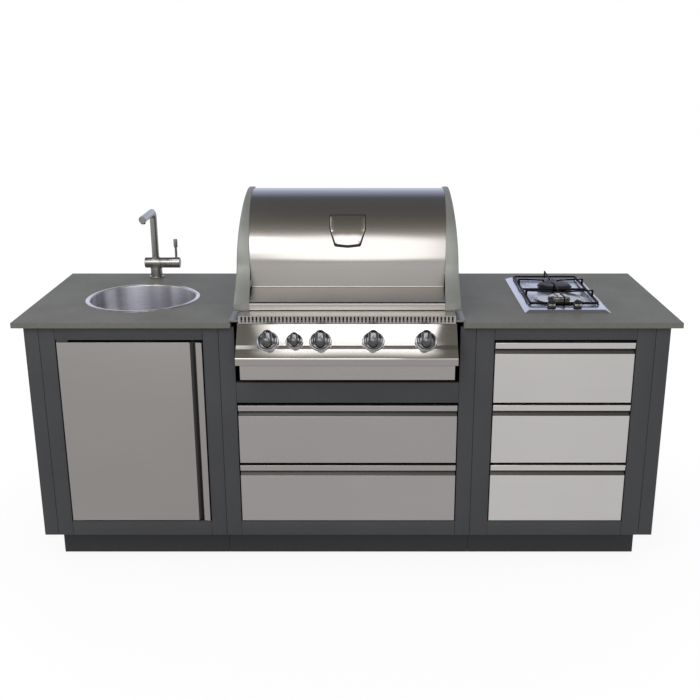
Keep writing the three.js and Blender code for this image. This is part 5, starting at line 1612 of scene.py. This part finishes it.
# Drip tray: a folded front on a pressed pan that hangs in its rails by two flanges.
drip = {
    "front": {"x": (-373, 373), "y": (15, 20), "z": (703, 755.5)},
    "pan": {"x": (-348, 348), "y": (19.8, 590), "z": (712, 743.6)},
    "flange": {"x": (347, 360), "y": (66, 590), "z": (741.3, 743.8)},
    "wall": 2,
    "hem": 1.8,
}


# The front is a C section along X, open to the rear. The pan rises from its bottom, over its edge
# and down inside, as rounded rectangles.
def dripShapes():
    pan, flange, wall, hem = drip["pan"], drip["flange"], drip["wall"], drip["hem"]
    (near, far), (low, high) = drip["front"]["y"], drip["front"]["z"]
    line = filleted(
        [
            (near, low, 2),
            (near, high, 1.5),
            (far, high, 1.5),
            (far, high - hem),
            (near + wall, high - hem),
            (near + wall, low + hem),
            (far, low + hem),
            (far, low, 1.5),
        ]
    )
    front = drawn(line, "x", *drip["front"]["x"], 0.8)
    z = pan["z"]
    steps = [
        (3, z[0], 9),
        (0.8, z[0] + 0.8, 9),
        (0, z[0] + 3, 9),
        (0, z[1], 9),
        (wall, z[1], 7),
        (wall, z[0] + wall + 3, 7),
        (wall + 0.8, z[0] + wall + 0.8, 7),
        (wall + 3, z[0] + wall, 7),
    ]
    tray = lofted(np.array(stacked(pan["x"], pan["y"], steps)))
    sides = [
        board(sorted((sign * flange["x"][0], sign * flange["x"][1])), flange["y"], flange["z"], 0.5)
        for sign in (-1, 1)
    ]
    return [front, tray, *sides]


addPiece("dripTray", dripShapes(), grillSteel, "drip_tray", ("drip_tray",), 30)
dress("firebox", millSteel)
for index in range(1, 5):
    dress(f"burner_{index}", millSteel)
for name in ("left", "centre", "right"):
    dress(name + "_grate", castIron)
dress("gas_manifold", brass)

rack = {
    "half": 346,
    "y": (440, 600),
    "z": 1068,
    "rod": 4,
    "thin": 2.6,
    "bars": 13,
    "leg": 368,
    "foot": 940.2,
    "bend": 14,
    "corner": 10,
}


# The warming rack: four bent legs, a loop and thinner bars between its long sides, all of them
# circles carried along the lines of its CAD node.
def rackShapes():
    rodSection = circle(rack["rod"], 16)
    thin = circle(rack["thin"], 12)
    half, leg = rack["half"], rack["leg"]
    low, high = rack["y"]
    shapes = []
    for sign in (-1, 1):
        for y in rack["y"]:
            knee = filleted(
                [(leg, rack["foot"]), (leg, rack["z"], rack["bend"]), (half, rack["z"])], 6
            )
            path = np.stack([sign * knee[:, 0], np.full(len(knee), y), knee[:, 1]], axis=-1)
            shapes.append(carried(rodSection, path, (0, 1, 0)))
    loop = rectangle((-half, half), (low, high), rack["corner"])
    shapes.append(carried(rodSection, spread(loop, rack["z"], "z"), closed=True))
    for y in np.linspace(low, high, rack["bars"] + 2)[1:-1]:
        shapes.append(carried(thin, [(-half, y, rack["z"]), (half, y, rack["z"])]))
    return shapes


addPiece("warmingRack", rackShapes(), chrome, "island", ("warming_rack",))
print("grill made")

# ---- floor, light and background

studio = {
    "white": "#ffffff",
    "floor": "#f4f4f3",
    "half": 14,
    "glow": 1.05,
    "glowShare": (0.86, 1.0),
    "glowReach": (1.2, 2.8),
    "ambient": 0.62,
    "mirroredFloor": 0.56,
}


# A flat sheet of one face, in the XY plane of its own.
def flatSheet(name, halfX, halfY):
    mesh = bpy.data.meshes.new(name)
    corners = [(-halfX, -halfY, 0), (halfX, -halfY, 0), (halfX, halfY, 0), (-halfX, halfY, 0)]
    mesh.from_pydata(corners, [], [(0, 1, 2, 3)])
    sheet = bpy.data.objects.new(name, mesh)
    bpy.context.scene.collection.objects.link(sheet)
    return sheet


# A material's output node.
def outputOf(tree):
    return next(node for node in tree.nodes if node.type == "OUTPUT_MATERIAL")


# A pale floor that keeps the island's soft shadow near it and glows white further out, so that it
# runs into the background. Mirrors see it as an even grey.
def addFloor():
    floor = flatSheet("studioFloor", studio["half"], studio["half"])
    made, tree, shader = startMaterial(
        "paleStudioFloor", {"Base Color": linear(studio["floor"]), "Roughness": 0.8}
    )
    output = outputOf(tree)
    rays = addNode(tree, "ShaderNodeLightPath")
    white = linear(studio["white"])
    glow = addNode(tree, "ShaderNodeEmission", {"Color": white, "Strength": studio["glow"]})
    place = addNode(tree, "ShaderNodeTexCoord").outputs["Object"]
    away = addNode(tree, "ShaderNodeVectorMath", None, {0: place}, operation="LENGTH")
    fade = mapRange(tree, away.outputs["Value"], *studio["glowShare"], *studio["glowReach"])
    share = combined(tree, "MULTIPLY", rays.outputs["Is Camera Ray"], fade)
    mix = mixShaders(tree, share, shader.outputs["BSDF"], glow.outputs["Emission"])
    values = {"Color": white, "Strength": studio["mirroredFloor"]}
    mirrored = addNode(tree, "ShaderNodeEmission", values).outputs["Emission"]
    last = mixShaders(tree, rays.outputs["Is Glossy Ray"], mix, mirrored)
    tree.links.new(last, output.inputs["Surface"])
    floor.data.materials.append(made)


# What mirrors see: a bright wall in front up to 45 degrees and dark above it, a dim bluish wall
# behind. Each stop is (sine of the height, red, green, blue), as shares of the strength.
mirrorWalls = {
    "front": [
        (0.0, 0.28, 0.28, 0.275),
        (0.15, 0.3, 0.3, 0.29),
        (0.22, 0.5, 0.495, 0.475),
        (0.68, 0.5, 0.495, 0.475),
        (0.8, 0.2, 0.193, 0.175),
        (0.866, 0.13, 0.126, 0.11),
        (0.94, 0.085, 0.082, 0.073),
        (0.99, 0.064, 0.062, 0.057),
        (1.0, 0.056, 0.055, 0.053),
    ],
    "back": [
        (0.0, 0.4, 0.43, 0.52),
        (0.34, 0.32, 0.35, 0.44),
        (0.62, 0.16, 0.18, 0.25),
        (0.78, 0.055, 0.058, 0.068),
        (0.95, 0.054, 0.055, 0.056),
        (1.0, 0.056, 0.055, 0.053),
    ],
}
wallStrength = 2.0


# A colour for each height, straight between the stops.
def wallRamp(tree, height, stops):
    ramp = addNode(tree, "ShaderNodeValToRGB", None, {"Fac": height})
    elements = ramp.color_ramp.elements
    for _ in range(len(stops) - 2):
        elements.new(0.5)
    for element, (position, *colour) in zip(elements, stops):
        element.position = position
        element.color = (*colour, 1.0)
    return ramp.outputs["Color"]


# The camera sees white, mirrors see the two walls, and everything else is lit by an even white.
def addWorld():
    world = bpy.data.worlds.new("studioWorld")
    world.use_nodes = True
    tree = world.node_tree
    tree.nodes.clear()
    rays = addNode(tree, "ShaderNodeLightPath")
    direction = addNode(tree, "ShaderNodeTexCoord").outputs["Generated"]
    axes = addNode(tree, "ShaderNodeSeparateXYZ", None, {"Vector": direction})
    up, back = axes.outputs["Z"], axes.outputs["Y"]
    frontWall = wallRamp(tree, up, mirrorWalls["front"])
    backWall = wallRamp(tree, up, mirrorWalls["back"])
    side = mapRange(tree, back, 0.0, 1.0, -0.15, 0.15)
    walls = addNode(
        tree, "ShaderNodeMix", None, {0: side, 6: frontWall, 7: backWall}, data_type="RGBA"
    )
    mirrored = addNode(
        tree, "ShaderNodeBackground", {"Strength": wallStrength}, {"Color": walls.outputs[2]}
    ).outputs[0]
    white = linear(studio["white"])
    values = {"Color": white, "Strength": studio["ambient"]}
    ambient = addNode(tree, "ShaderNodeBackground", values).outputs[0]
    seen = addNode(tree, "ShaderNodeBackground", {"Color": white, "Strength": 1.0}).outputs[0]
    glossy, through = rays.outputs["Is Glossy Ray"], rays.outputs["Is Transmission Ray"]
    either = combined(tree, "MAXIMUM", glossy, through)
    first = mixShaders(tree, either, ambient, mirrored)
    second = mixShaders(tree, rays.outputs["Is Camera Ray"], first, seen)
    addNode(tree, "ShaderNodeOutputWorld", links={"Surface": second})
    bpy.context.scene.world = world


# A softbox with its size in metres and its brightness as seen in a mirror: energy = pi b w h.
def addCard(name, place, target, size, brightness, colour="#ffffff"):
    data = bpy.data.lights.new(name, "AREA")
    data.shape = "RECTANGLE"
    data.size, data.size_y = size
    data.energy = brightness * math.pi * size[0] * size[1]
    data.color = linear(colour)[:3]
    made = bpy.data.objects.new(name, data)
    made.location = place
    aim = np.array(target, float) - np.array(place, float)
    made.rotation_euler = (
        math.acos(-aim[2] / np.linalg.norm(aim)),
        0,
        math.atan2(aim[0], -aim[1]) + math.pi,
    )
    made.visible_camera = False
    bpy.context.scene.collection.objects.link(made)


# A white card that only mirrors see, and only from under it. It fades out along its left, right,
# near and far edges, and its near and far edges bow by bow x^2.
def addMirrorCard(name, place, tilt, size, brightness, fade, bow):
    halfX, halfY = size[0] / 2, size[1] / 2
    card = flatSheet(name, halfX, halfY)
    card.location = place
    card.rotation_euler = (math.radians(tilt), 0, 0)
    made, tree, shader = startMaterial(name, {})
    tree.nodes.remove(shader)
    output = outputOf(tree)
    spot = addNode(tree, "ShaderNodeTexCoord").outputs["Object"]
    axes = addNode(tree, "ShaderNodeSeparateXYZ", None, {"Vector": spot})
    x, y = axes.outputs["X"], axes.outputs["Y"]
    squared = combined(tree, "MULTIPLY", x, x)
    rise = addNode(tree, "ShaderNodeMath", {1: bow}, {0: squared}, operation="MULTIPLY").outputs[0]
    far = combined(tree, "ADD", y, rise)
    near = combined(tree, "SUBTRACT", y, rise)
    share = mapRange(tree, x, 0.0, 1.0, -halfX, -halfX + fade[0])
    for edge in (
        mapRange(tree, x, 1.0, 0.0, halfX - fade[1], halfX),
        mapRange(tree, near, 0.0, 1.0, -halfY, -halfY + fade[2]),
        mapRange(tree, far, 1.0, 0.0, halfY - fade[3], halfY),
        addNode(tree, "ShaderNodeNewGeometry").outputs["Backfacing"],
    ):
        share = combined(tree, "MULTIPLY", share, edge)
    glow = addNode(tree, "ShaderNodeEmission", {"Strength": brightness}).outputs[0]
    clear = addNode(tree, "ShaderNodeBsdfTransparent").outputs[0]
    tree.links.new(mixShaders(tree, share, clear, glow), output.inputs["Surface"])
    card.data.materials.append(made)
    card.visible_camera = False
    card.visible_diffuse = False
    card.visible_shadow = False
    card.visible_transmission = False


addFloor()
addWorld()
addCard("frontSoftbox", (-1.25, -2.95, 3.35), (0, 0, 0.8), (2.4, 1.6), 2.2)

# Each card is named after the piece that mirrors it: (place, tilt, size, brightness, fade, bow).
mirrorCards = {
    "panelCard": ((-0.014, -0.465, 1.3), -30, (0.892, 0.15), 3.1, (0.15, 0.03, 0.012, 0.02), 0.0),
    "noseCard": ((-0.01, -0.5665, 1.358), -30, (0.99, 0.077), 2.9, (0.2, 0.12, 0.075, 0.001), 0.0),
    "lidCard": ((-0.015, -1.497, 1.869), 60, (0.96, 1.487), 1.9, (0.1, 0.06, 0.1, 0.18), 1.0),
    "sinkCard": ((-0.88, -0.08, 2.1), 0, (0.5, 0.6), 3.2, (0.12, 0.1, 0.15, 0.15), 0.0),
}
for name, settings in mirrorCards.items():
    addMirrorCard(name, *settings)
bpy.context.scene.view_settings.view_transform = "Standard"
print("studio set")


# A box's two corners as lists.
def corners(box):
    return [list(corner) for corner in box]
